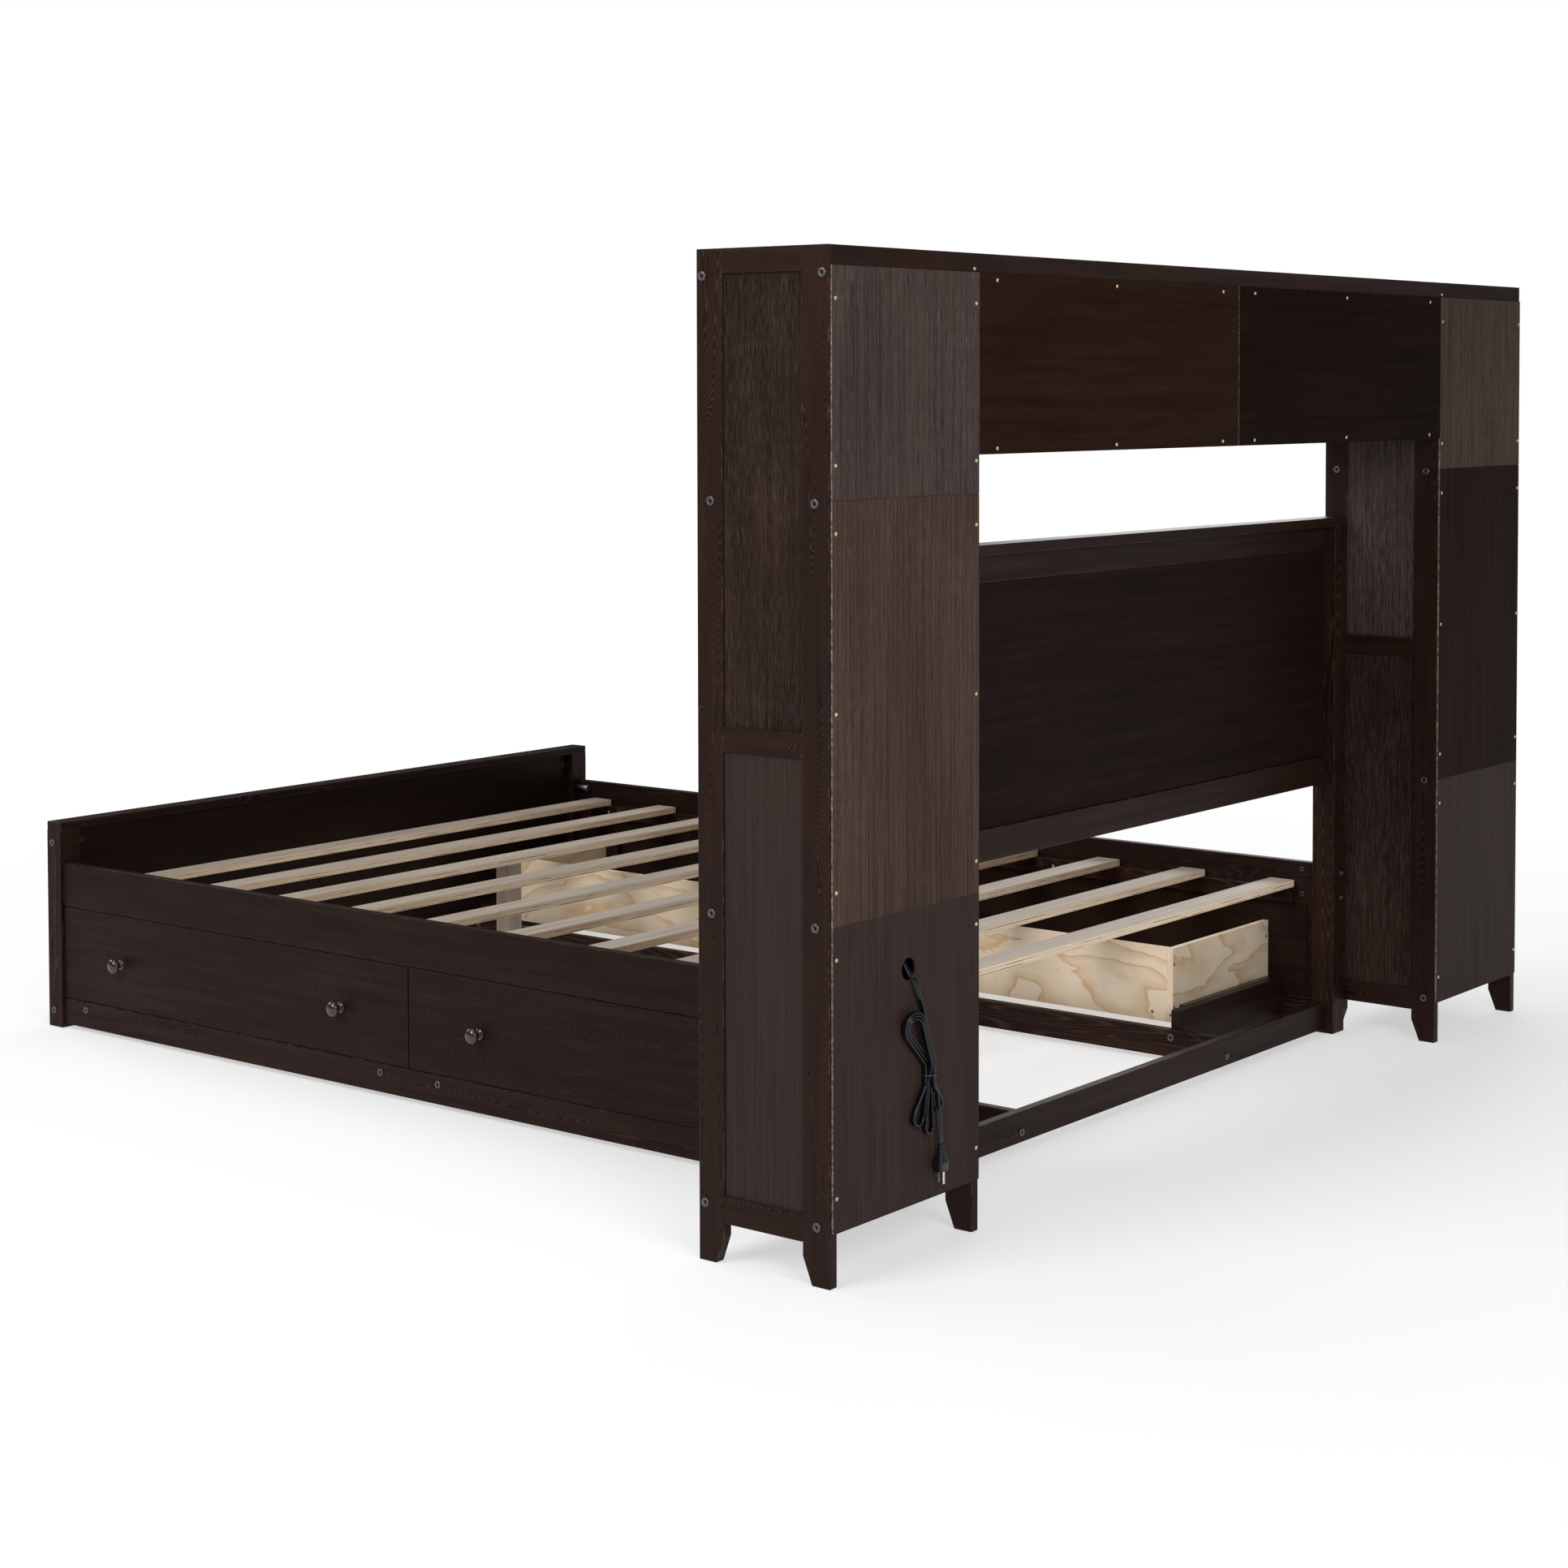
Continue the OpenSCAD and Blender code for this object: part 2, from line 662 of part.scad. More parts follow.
// the fixed leaves with their outer knuckles, and the loose pins with a head on top
module hinge_pins() {
    third = hinge_h / 3;
    r = pin_r + fit_gap;
    color(gunmetal) both_sides() for (z = hinge_z) translate([pin_x, pin_y, z]) {
        cylinder(h = hinge_h, r = pin_r, center = true);
        translate([0, 0, hinge_h / 2 + fit_gap]) cylinder(h = 1.5, r = pin_r + 1);
        translate([0, 0, hinge_h / 2 - 1]) cylinder(h = 2, r = pin_r);
        difference() {
            union() {
                for (e = [-1, 1]) {
                    knuckle(e * third - third / 2, third, r);
                    translate([door_gap / 2 - leaf_t, 0, e * third - third / 2])
                        cube([leaf_t, knuckle_r + 0.2 + leaf_w, third]);
                }
                translate([door_gap / 2 - leaf_t, knuckle_r + 0.2, -hinge_h / 2])
                    cube([leaf_t, leaf_w, hinge_h]);
            }
            cylinder(h = 2 * hinge_h, r = r, center = true);
        }
    }
}

// ---- bridge and top ----

module bridge_boards() {
    color(espresso) {
        for (z = [bridge_z, shelf_z[3]]) board([-tower_x, front_y, z], [tower_x, back_y, z + board_t]);
        board([-board_t / 2, front_y, bridge_z + board_t + seam], [board_t / 2, back_y, shelf_z[3] - seam]);
    }
}

module bridge_back() {
    color(espresso) both_sides()
        board([1, back_y, bridge_z], [tower_x + 1.5, back_out_y, seam_z[3] - 0.5]);
}

// the rim around the top: a long rail at the back and another at the front
module top_rims() {
    color(espresso) {
        board([-bay_out_x, back_y - board_t, rim_z], [bay_out_x, back_y, tower_h]);
        board([-bay_out_x, front_y, rim_z], [bay_out_x, front_y + board_t, tower_h]);
    }
}

// ---- fasteners ----

module frame_bolts() {
    mid = board_t / 2;
    tower_rows = [
        [shelf_z[0] + mid, 12, 24], [shelf_z[1] + mid, 26, 26],
        [shelf_z[2] + mid, 26, 26], [shelf_z[3] + mid, 11, 12]
    ];
    rail_bolt_z = [upper_top_z - 15, upper_z + 22];
    foot_bolt_z = [footboard_h - 43, footboard_h - 99, low_rail_z + 26];
    nut_in = 36;
    foot_nut_in = 16;
    foot_mid_y = foot_board_y + mid;
    color(gunmetal) both_sides() {
        for (r = tower_rows, y = [front_y + r[1], back_y - r[2]]) {
            bolt_x([outer_x, y, r[0]], 1);
            if (r[0] < bridge_z) bolt_x([tower_x, y, r[0]], -1);
        }
        for (y = guide_y) {
            bolt_x([rail_x, y, guide_z + 28], 1);
            bolt_x([inner_rail_x - mid, y, guide_z + 30], -1);
        }
        for (z = rail_bolt_z) {
            bolt_y([rail_x - mid, head_out_y, z], 1, head_post_d + nut_in + 3);
            nut_x([inner_w - hair, head_in_y - nut_in, z]);
            bolt_y([rail_x - mid, foot_y, z], -1, foot_post_d + nut_in + 3);
            nut_x([inner_w - hair, foot_in_y + nut_in, z]);
        }
        for (z = foot_bolt_z) {
            bolt_x([bed_x, foot_mid_y, z], 1, post_w + foot_nut_in + 3);
            nut_y([bed_x - post_w - foot_nut_in, foot_board_y + board_t + hair, z]);
        }
        bolt_y([inner_rail_x, head_rail_y, low_rail_z + 18], 1);
        bolt_y([inner_rail_x, foot_board_y, low_rail_z + 18], -1);
    }
}

module back_screws() {
    mid = board_t / 2;
    tower_cols = [tower_x + 10, outer_x - back_edge - 8];
    bridge_ends = [56, tower_x - 47];
    bridge_cols = [bridge_ends[0], (bridge_ends[0] + bridge_ends[1]) / 2, bridge_ends[1]];
    tower_zs = [for (i = [0 : 2]) each concat([seam_z[i] + 50, seam_z[i + 1] - 48],
        i == 1 ? [(seam_z[1] + seam_z[2]) / 2] : [])];
    color(brass_zinc) both_sides() {
        for (x = tower_cols, z = tower_zs) back_screw(x, back_out_y, z);
        for (x = bridge_cols, z = [bridge_z + mid, shelf_z[3] + mid]) back_screw(x, back_out_y, z);
        back_screw(tower_x + 11, back_y, rim_z + 7);
    }
}

// ---- power unit and cord ----

module at_hole() {
    translate([cord_hole_x, back_out_y, cord_hole_z]) children();
}

module power_unit() {
    y = back_y - unit_back_gap - unit_d;
    color(black_pvc) {
        board([cord_hole_x - unit_w / 2, y, unit_z],
              [cord_hole_x + unit_w / 2, y + unit_d, shelf_z[1] + board_t]);
    }
}

// the plate that shows on the night shelf, with two outlets and two charging ports
module power_faceplate() {
    z = shelf_z[1] + board_t;
    y = back_y - 1;
    d = unit_d + plate_rim + unit_back_gap - 1;
    w = unit_w + 2 * plate_rim;
    mid = y - d / 2;
    color(black_pvc) difference() {
        board([cord_hole_x - w / 2, y - d, z], [cord_hole_x + w / 2, y, z + plate_t]);
        for (x = [-34, 6], s = [-1, 1])
            translate([cord_hole_x + x - 1, mid + s * 6.3 - 3.5, z + 1]) cube([2, 7, plate_t]);
        for (x = [-34, 6]) translate([cord_hole_x + x + 11, mid, z + 1]) cylinder(h = plate_t, r = 2.4);
        for (s = [-1, 1])
            translate([cord_hole_x + 35.5, mid + s * 9 - 2.6, z + 1]) cube([13, 5.2, plate_t]);
    }
}

function unit(v) = v / norm(v);

// the direction along a route at its point i
function along(route, i) = unit(route[min(i + 1, len(route) - 1)] - route[max(i - 1, 0)]);

// a flat cord with rounded edges swept along a route
// turn is how far its width has turned from X towards Y at the start and at the end, in quarter turns
module flat_cord(route, turn) {
    sides = 10;
    last = len(route) - 1;
    rings = [for (i = [0 : last])
        let (t = along(route, i), a = 90 * turn[0] + 90 * (turn[1] - turn[0]) * i / last,
             want = [cos(a), sin(a), 0], w = unit(want - (want * t) * t), n = cross(t, w))
        [for (k = [0 : sides - 1]) let (b = 360 * k / sides)
            route[i] + w * (cord_w / 2 * cos(b)) + n * (cord_t / 2 * sin(b))]];
    points = [for (r = rings) each r];
    skin = [for (i = [0 : last - 1], k = [0 : sides - 1])
        let (a = i * sides + k, b = i * sides + (k + 1) % sides)
            each [[a, a + sides, b], [b, a + sides, b + sides]]];
    first_cap = [for (k = [0 : sides - 1]) k];
    last_cap = [for (k = [sides - 1 : -1 : 0]) last * sides + k];
    polyhedron(points, concat(skin, [first_cap, last_cap]));
}

module cord_lead() {
    color(black_pvc) at_hole() flat_cord(cord_lead_route, [0, 0.7]);
}

module cord_tail() {
    color(black_pvc) at_hole() flat_cord(cord_tail_route, [0.2, 0]);
}

// the folded hank: one solid with the outline of its folds
module cord_hank() {
    color(black_pvc) at_hole() translate([0, hank_y[1], 0]) rotate([90, 0, 0])
        linear_extrude(hank_y[1] - hank_y[0]) {
            for (end = [hank_top, hank_left, hank_right, hank_low])
                hull() for (c = [hank_tie, end]) translate([c[0], c[1]]) circle(c[2], $fn = 24);
        }
}

module plug_body() {
    color(black_pvc) at_hole() translate(plug_top) {
        for (i = [0 : 2]) translate([0, 0, -3 - 4 * i]) cylinder(h = 3, r = 5.6, $fn = 24);
        translate([0, 0, -14]) cylinder(h = 14, r1 = 5, r2 = 4.6, $fn = 32);
        hull() {
            translate([-7, -5, -15]) cube([14, 10, 1]);
            translate([-11.5, -8.5, -28]) cube([23, 17, 1]);
        }
        translate([-11.5, -8.5, -42]) cube([23, 17, 14.5]);
    }
}

module plug_blades() {
    color(brass_zinc) at_hole() translate(plug_top) {
        for (s = [-1, 1]) translate([s * 6.35 - 0.75, -5.2, -58]) cube([1.5, 6.4, 16]);
        translate([0, 4.6, -61]) cylinder(h = 19, r = 2.3, $fn = 24);
    }
}

headboard_posts();
headboard_rails();
headboard_panel();
headboard_cap();
footboard_posts();
footboard_rails();
footboard_panel();
footboard_cap();
upper_side_rails();
low_side_rails();
inner_rails();
drawer_guides();
slide_channels();
slat_ledgers();
slats();
slat_legs();
end_fillers();
drawer_front(1, 0);  // right_foot_drawer_front
drawer_box(1, 0);  // right_foot_drawer_box
drawer_knobs(1, 0);  // right_foot_drawer_knobs
drawer_slides(1, 0);  // right_foot_drawer_slides
drawer_front(1, 1);  // right_head_drawer_front
drawer_box(1, 1);  // right_head_drawer_box
drawer_knobs(1, 1);  // right_head_drawer_knobs
drawer_slides(1, 1);  // right_head_drawer_slides
drawer_front(-1, 0);  // left_foot_drawer_front
drawer_box(-1, 0);  // left_foot_drawer_box
drawer_knobs(-1, 0);  // left_foot_drawer_knobs
drawer_slides(-1, 0);  // left_foot_drawer_slides
drawer_front(-1, 1);  // left_head_drawer_front
drawer_box(-1, 1);  // left_head_drawer_box
drawer_knobs(-1, 1);  // left_head_drawer_knobs
drawer_slides(-1, 1);  // left_head_drawer_slides
tower_frames(1);  // right_tower_frames
tower_panels(1);  // right_tower_panels
tower_shelves(1);  // right_tower_shelves
tower_back(1);  // right_tower_back
tower_frames(-1);  // left_tower_frames
tower_panels(-1);  // left_tower_panels
tower_shelves(-1);  // left_tower_shelves
tower_back(-1);  // left_tower_back
door(1);  // right_door
door_knob(1);  // right_door_knob
door_hinges(1);  // right_door_hinges
door(-1);  // left_door
door_knob(-1);  // left_door_knob
door_hinges(-1);  // left_door_hinges
hinge_pins();
bridge_boards();
bridge_back();
top_rims();
frame_bolts();
back_screws();
power_unit();
power_faceplate();
cord_lead();
cord_hank();
cord_tail();
plug_body();
plug_blades();
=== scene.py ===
"""Looks of the storage bed with its wall cabinet. Lengths are in metres, unless it says millimetres or _mm."""
import json
import math
import bmesh
import bpy
from mathutils import Matrix, Vector


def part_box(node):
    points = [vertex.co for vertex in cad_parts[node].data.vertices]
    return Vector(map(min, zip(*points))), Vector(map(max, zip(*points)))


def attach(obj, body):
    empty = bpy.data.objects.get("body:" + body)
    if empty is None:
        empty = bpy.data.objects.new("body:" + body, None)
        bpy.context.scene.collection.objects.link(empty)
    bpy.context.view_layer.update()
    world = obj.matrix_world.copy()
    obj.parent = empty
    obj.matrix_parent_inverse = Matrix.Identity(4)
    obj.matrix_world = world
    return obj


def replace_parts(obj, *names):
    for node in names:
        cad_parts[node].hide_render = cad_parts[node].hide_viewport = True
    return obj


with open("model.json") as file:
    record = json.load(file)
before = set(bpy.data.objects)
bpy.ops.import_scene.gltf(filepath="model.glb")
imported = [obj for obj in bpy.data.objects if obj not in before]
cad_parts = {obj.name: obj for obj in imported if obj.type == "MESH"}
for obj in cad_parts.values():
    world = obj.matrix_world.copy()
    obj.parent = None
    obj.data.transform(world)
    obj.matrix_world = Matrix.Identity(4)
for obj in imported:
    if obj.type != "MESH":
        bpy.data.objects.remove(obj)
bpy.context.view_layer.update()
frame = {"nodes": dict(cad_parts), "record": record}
NODES = frame["nodes"]
MM = 0.001
BODY_OF = {n: b for b, names in frame["record"]["behaviour"]["bodies"].items() for n in names}
ROOT = "bed_and_cabinet"
X, Y, Z = 0, 1, 2
SIDES = {"right": 1, "left": -1}


# ---------------------------------------------------------------- camera

# solved from the photo, then turned 2 degrees down with a smaller shift: radians, and a lens in millimetres
CAMERA_AT = Vector((4.4218, 3.6462, 1.3075))
YAW, PITCH, ROLL = -2.47153, -0.04002, -0.00209
LENS, SENSOR, SHIFT_Y = 65.405, 36, -0.17917


def make_camera():
    look = Vector((math.cos(YAW) * math.cos(PITCH), math.sin(YAW) * math.cos(PITCH), math.sin(PITCH)))
    level = look.cross(Vector((0, 0, 1))).normalized()
    right = Matrix.Rotation(ROLL, 3, -look) @ level
    up = right.cross(look)
    turn = Matrix((right, up, -look)).transposed()
    data = bpy.data.cameras.new("camera")
    data.lens, data.sensor_width, data.shift_y = LENS, SENSOR, SHIFT_Y
    data.clip_start, data.clip_end = 0.1, 100
    cam = bpy.data.objects.new("camera", data)
    cam.matrix_world = Matrix.Translation(CAMERA_AT) @ turn.to_4x4()
    bpy.context.scene.collection.objects.link(cam)
    bpy.context.scene.camera = cam


make_camera()


# ---------------------------------------------------------------- meshes

def add_piece(name, verts, faces, material, smooth=True):
    """A new mesh object with its faces turned outwards."""
    mesh = bpy.data.meshes.new(name)
    mesh.from_pydata([tuple(v) for v in verts], [], faces)
    mesh.materials.append(material)
    skin = bmesh.new()
    skin.from_mesh(mesh)
    bmesh.ops.recalc_face_normals(skin, faces=skin.faces)
    skin.to_mesh(mesh)
    skin.free()
    mesh.polygons.foreach_set("use_smooth", [smooth] * len(mesh.polygons))
    piece = bpy.data.objects.new(name, mesh)
    bpy.context.scene.collection.objects.link(piece)
    return piece


def corners(points):
    """The lowest and the highest corner of the box round some points."""
    low = Vector(min(p[k] for p in points) for k in range(3))
    high = Vector(max(p[k] for p in points) for k in range(3))
    return low, high


def solids(mesh, grid=1e-5):
    """The separate solids of a mesh: the numbers of their faces, their lowest corner and their highest."""
    key, parent = {}, []
    ids = []
    for v in mesh.vertices:
        k = tuple(round(c / grid) for c in v.co)
        if k not in key:
            key[k] = len(parent)
            parent.append(key[k])
        ids.append(key[k])

    def root(i):
        while parent[i] != i:
            parent[i] = parent[parent[i]]
            i = parent[i]
        return i

    for p in mesh.polygons:
        first = root(ids[p.vertices[0]])
        for v in p.vertices[1:]:
            parent[root(ids[v])] = first
    groups = {}
    for p in mesh.polygons:
        groups.setdefault(root(ids[p.vertices[0]]), []).append(p.index)
    found = []
    for faces in groups.values():
        points = [mesh.vertices[v].co for f in faces for v in mesh.polygons[f].vertices]
        found.append((faces, *corners(points)))
    return found


def longest(low, high):
    size = high - low
    return max(range(3), key=lambda k: size[k])


def thinnest(low, high):
    size = high - low
    return min(range(3), key=lambda k: size[k])


class Shape:
    """Vertices and faces of one piece, gathered from several forms."""

    def __init__(self):
        self.verts, self.faces = [], []

    def add(self, rings, closed_ends=True, place=None):
        """Joins rings of points, all of one length, into a skin."""
        n, start = len(rings[0]), len(self.verts)
        for loop in rings:
            self.verts += [place @ Vector(p) if place else Vector(p) for p in loop]
        for i in range(len(rings) - 1):
            for k in range(n):
                a, b = start + i * n + k, start + i * n + (k + 1) % n
                self.faces.append((a, b, b + n, a + n))
        if closed_ends:
            self.faces.append(tuple(start + k for k in reversed(range(n))))
            end = start + (len(rings) - 1) * n
            self.faces.append(tuple(end + k for k in range(n)))

    def piece(self, name, material, body, slot, smooth=True):
        made = add_piece(name, self.verts, self.faces, material, smooth)
        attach(made, body)
        return made


def ring(radius, height, count=24, outline=None):
    """A circle round Z, or the curve whose radius is radius times outline(angle)."""
    points = []
    for k in range(count):
        a = 2 * math.pi * k / count
        r = radius * (outline(a) if outline else 1)
        points.append((r * math.cos(a), r * math.sin(a), height))
    return points


def facing(at, axis, sign):
    """A place at a point, with the form's +Z turned to a row axis."""
    direction = Vector((0, 0, 0))
    direction[axis] = sign
    return Matrix.Translation(at) @ direction.to_track_quat("Z", "Y").to_matrix().to_4x4()


# ---------------------------------------------------------------- materials

class Nodes:
    """A material's node tree, with short ways to add to it."""

    def __init__(self, name):
        self.material = bpy.data.materials.new(name)
        self.material.use_nodes = True
        self.tree = self.material.node_tree
        self.shader = self.tree.nodes["Principled BSDF"]

    def add(self, kind, inputs=None, **settings):
        made = self.tree.nodes.new("ShaderNode" + kind)
        for k, v in settings.items():
            setattr(made, k, v)
        for k, v in (inputs or {}).items():
            if isinstance(v, bpy.types.NodeSocket):
                self.tree.links.new(v, made.inputs[k])
            else:
                made.inputs[k].default_value = v
        return made

    def math(self, operation, a, b=0.0, c=0.0):
        return self.add("Math", {0: a, 1: b, 2: c}, operation=operation).outputs[0]

    def scaled(self, vector, scale):
        return self.add("Mapping", {"Vector": vector, "Scale": scale}).outputs[0]

    def noise(self, vector, scale, detail=4.0, roughness=0.55, distortion=0.0):
        inputs = {"Vector": vector, "Scale": scale, "Detail": detail, "Roughness": roughness}
        inputs["Distortion"] = distortion
        return self.add("TexNoise", inputs).outputs["Fac"]

    def ramp(self, value, stops):
        made = self.add("ValToRGB", {"Fac": value})
        elements = made.color_ramp.elements
        while len(elements) < len(stops):
            elements.new(0.5)
        for element, (at, colour) in zip(elements, stops):
            element.position = at
            element.color = (*colour, 1)
        return made.outputs["Color"]

    def mix(self, share, a, b):
        made = self.add("Mix", data_type="RGBA", blend_type="MIX")
        # 0, 6 and 7 are the sockets for the share and the two colours, and 2 is the colour that comes out
        for index, v in ((0, share), (6, a), (7, b)):
            if isinstance(v, bpy.types.NodeSocket):
                self.tree.links.new(v, made.inputs[index])
            elif index == 0:
                made.inputs[index].default_value = v
            else:
                made.inputs[index].default_value = (*v, 1)
        return made.outputs[2]

    def spread(self, value, low, high, to_low=0.0, to_high=1.0):
        inputs = {"Value": value, "From Min": low, "From Max": high, "To Min": to_low, "To Max": to_high}
        return self.add("MapRange", inputs).outputs[0]

    def put(self, **sockets):
        for k, v in sockets.items():
            target = self.shader.inputs[k.replace("_", " ")]
            if isinstance(v, bpy.types.NodeSocket):
                self.tree.links.new(v, target)
            elif isinstance(v, tuple):
                target.default_value = (*v, 1)
            else:
                target.default_value = v

    def bump(self, height, strength, distance):
        inputs = {"Height": height, "Strength": strength, "Distance": distance}
        self.tree.links.new(self.add("Bump", inputs).outputs[0], self.shader.inputs["Normal"])

    def place(self):
        """The surface's place in the row frame, moved by a different amount on each board."""
        at = self.add("TexCoord").outputs["Object"]
        board = self.add("NewGeometry").outputs["Random Per Island"]
        moves = {k: self.math("MULTIPLY", board, far) for k, far in enumerate((3.7, 5.3, 7.1))}
        away = self.add("CombineXYZ", moves).outputs[0]
        moved = self.add("VectorMath", {0: at, 1: away}, operation="ADD").outputs[0]
        return at, moved, board


def along(axis, length_share):
    """Scales that stretch a pattern along the grain."""
    scales = [1.0, 1.0, 1.0]
    scales[axis] = length_share
    return tuple(scales)


MADE = {}


def shaded(colour, share):
    """A colour made darker or lighter."""
    return tuple(c * share for c in colour)


def once(maker):
    """Each material is made once for each set of arguments."""
    def made(*args):
        key = (maker.__name__, *args)
        if key not in MADE:
            MADE[key] = maker(*args)
        return MADE[key]
    return made


WOODS = {
    # two browns that boards vary between, share of the ring lines, roughness, level of the gloss
    "solid": ((0.0200, 0.0090, 0.0061), (0.0086, 0.0047, 0.0037), 0.90, 0.38, 0.07),
    "panel": ((0.0200, 0.0094, 0.0064), (0.0112, 0.0060, 0.0045), 0.40, 0.42, 0.07),
    "head": ((0.0160, 0.0080, 0.0060), (0.0095, 0.0052, 0.0042), 0.35, 0.50, 0.03),
    "ply": ((0.0250, 0.0105, 0.0053), (0.0125, 0.0054, 0.0031), 0.30, 0.58, 0.025),
    # dark_ply is the ply at half its brightness: painted shade for the bridge's far back sheet
    "dark_ply": ((0.0125, 0.0056, 0.0033), (0.0062, 0.0029, 0.0019), 0.30, 0.58, 0.02),
}


@once
def stained_wood(kind, axis):
    """Satin espresso stain over pine: ring lines, streaks and open pores along the grain."""
    warm, cool, rings_share, roughness, gloss = WOODS[kind]
    n = Nodes(f"stained_{kind}_{'xyz'[axis]}")
    _, at, board = n.place()
    long_at = n.scaled(at, along(axis, 0.07))
    warp = n.noise(long_at, 9.0, 2.0)
    warps = n.add("CombineXYZ", {k: warp for k in range(3)}).outputs[0]
    warping = {0: long_at, 1: warps, 2: (0.05, 0.05, 0.05)}
    warped = n.add("VectorMath", warping, operation="MULTIPLY_ADD").outputs[0]
    wave = {"Vector": warped, "Scale": 34.0, "Distortion": 2.2, "Detail": 2.0, "Detail Scale": 1.2}
    rings = n.add("TexWave", wave, wave_type="RINGS", rings_direction="XYZ"[axis]).outputs["Fac"]
    fibres = n.noise(n.scaled(at, along(axis, 0.018)), 620.0, 3.0, 0.6)
    streaks = n.noise(n.scaled(at, along(axis, 0.05)), 60.0, 5.0, 0.6)
    clouds = n.noise(n.scaled(at, along(axis, 0.35)), 7.0, 3.0)
    base = n.mix(n.spread(clouds, 0.35, 0.68), cool, warm)
    base = n.mix(n.spread(board, 0.0, 1.0, 0.0, 0.55), base, shaded(warm, 0.72))
    late = n.math("MULTIPLY", n.math("POWER", n.spread(rings, 0.25, 0.98), 2.6), rings_share)
    base = n.mix(late, base, shaded(warm, 2.5))
    base = n.mix(n.spread(streaks, 0.35, 0.7, 0.0, 0.55), base, shaded(cool, 0.55))
    base = n.mix(n.spread(fibres, 0.52, 0.75, 0.0, 0.35), base, shaded(cool, 0.4))
    n.put(Base_Color=base, Roughness=n.spread(streaks, 0.2, 0.8, roughness - 0.07, roughness + 0.10))
    n.put(Specular_IOR_Level=gloss)
    height = n.math("ADD", n.math("MULTIPLY", fibres, 0.6), n.math("MULTIPLY", rings, 0.4 * rings_share))
    n.bump(height, 0.22, 0.0004)
    return n.material


VENEERS = {
    # two browns that a sheet varies between, its streaks, its open pores, their share, level of the gloss
    "grey": ((0.044, 0.0305, 0.0270), (0.066, 0.0450, 0.0375),
             (0.0130, 0.0072, 0.0060), (0.17, 0.138, 0.126), 0.62, 0.06),
    "warm": ((0.053, 0.0310, 0.0235), (0.080, 0.0490, 0.0375),
             (0.0190, 0.0092, 0.0058), (0.155, 0.108, 0.080), 0.55, 0.06),
    "dark": ((0.0180, 0.0090, 0.0062), (0.0400, 0.0225, 0.0165),
             (0.0070, 0.0036, 0.0027), (0.115, 0.088, 0.077), 0.50, 0.03),
    "deep": ((0.0145, 0.0066, 0.0042), (0.0200, 0.0090, 0.0056),
             (0.0060, 0.0029, 0.0020), (0.045, 0.027, 0.018), 0.35, 0.02),
    "plain": ((0.0330, 0.0210, 0.0188), (0.0400, 0.0248, 0.0215),
              (0.0240, 0.0142, 0.0122), (0.048, 0.034, 0.029), 0.3, 0.05),
}


@once
def veneer(tone, axis):
    """Thin veneer that took the stain unevenly, with open pores along its grain."""
    base_a, base_b, streak, pore, pore_share, gloss = VENEERS[tone]
    n = Nodes(f"{tone}_veneer_{'xyz'[axis]}")
    _, at, board = n.place()
    pores = n.noise(n.scaled(at, along(axis, 0.025)), 1300.0, 3.0, 0.7)
    haze = n.noise(n.scaled(at, along(axis, 0.45)), 4.5, 3.0)
    lines = n.noise(n.scaled(at, along(axis, 0.009)), 400.0, 5.0, 0.66)
    clouds = n.noise(n.scaled(at, along(axis, 0.30)), 5.5, 4.0, 0.62)
    base = n.mix(n.spread(clouds, 0.40, 0.60), base_a, base_b)
    base = n.mix(n.spread(board, 0.0, 1.0, 0.0, 0.4), base, base_a)
    base = n.mix(n.spread(lines, 0.40, 0.60, 0.0, 0.75), base, streak)
    pore_lines = n.spread(pores, 0.50, 0.64, 0.0, pore_share)
    base = n.mix(n.math("MULTIPLY", pore_lines, n.spread(haze, 0.38, 0.60, 0.4, 1.0)), base, pore)
    n.put(Base_Color=base, Roughness=n.spread(lines, 0.3, 0.7, 0.46, 0.60), Specular_IOR_Level=gloss)
    n.bump(n.math("ADD", pores, n.math("MULTIPLY", lines, 0.5)), 0.35, 0.0003)
    return n.material


@once
def worn_and_highlit_edge():
    """The eased edges of stained boards, lighter partly where the stain is thin and partly as a painted
    highlight along the edges.
    """
    n = Nodes("worn_and_highlit_edge")
    at = n.add("TexCoord").outputs["Object"]
    wear_and_highlight = n.noise(at, 38.0, 5.0, 0.65)
    # the lighter edge colour is partly worn stain and partly a painted highlight along the eased edges
    base = n.mix(n.spread(wear_and_highlight, 0.50, 0.72), (0.0125, 0.0066, 0.0052), (0.085, 0.050, 0.038))
    n.put(Base_Color=base, Roughness=0.42, Specular_IOR_Level=0.14)
    n.bump(wear_and_highlight, 0.15, 0.0003)
    return n.material


@once
def pale_and_highlit_edge():
    """The raw sawn edge of a thin stained panel, pale partly as bare wood and partly as a painted highlight
    where the edge catches the light.
    """
    n = Nodes("pale_and_highlit_edge")
    at = n.add("TexCoord").outputs["Object"]
    mottle = n.noise(at, 160.0, 4.0, 0.6)
    # the pale end of the mottle is partly bare wood and partly a painted highlight on the edge
    base = n.mix(n.spread(mottle, 0.42, 0.66), (0.070, 0.050, 0.040), (0.30, 0.245, 0.205))
    n.put(Base_Color=base, Roughness=0.7)
    n.bump(mottle, 0.3, 0.0004)
    return n.material


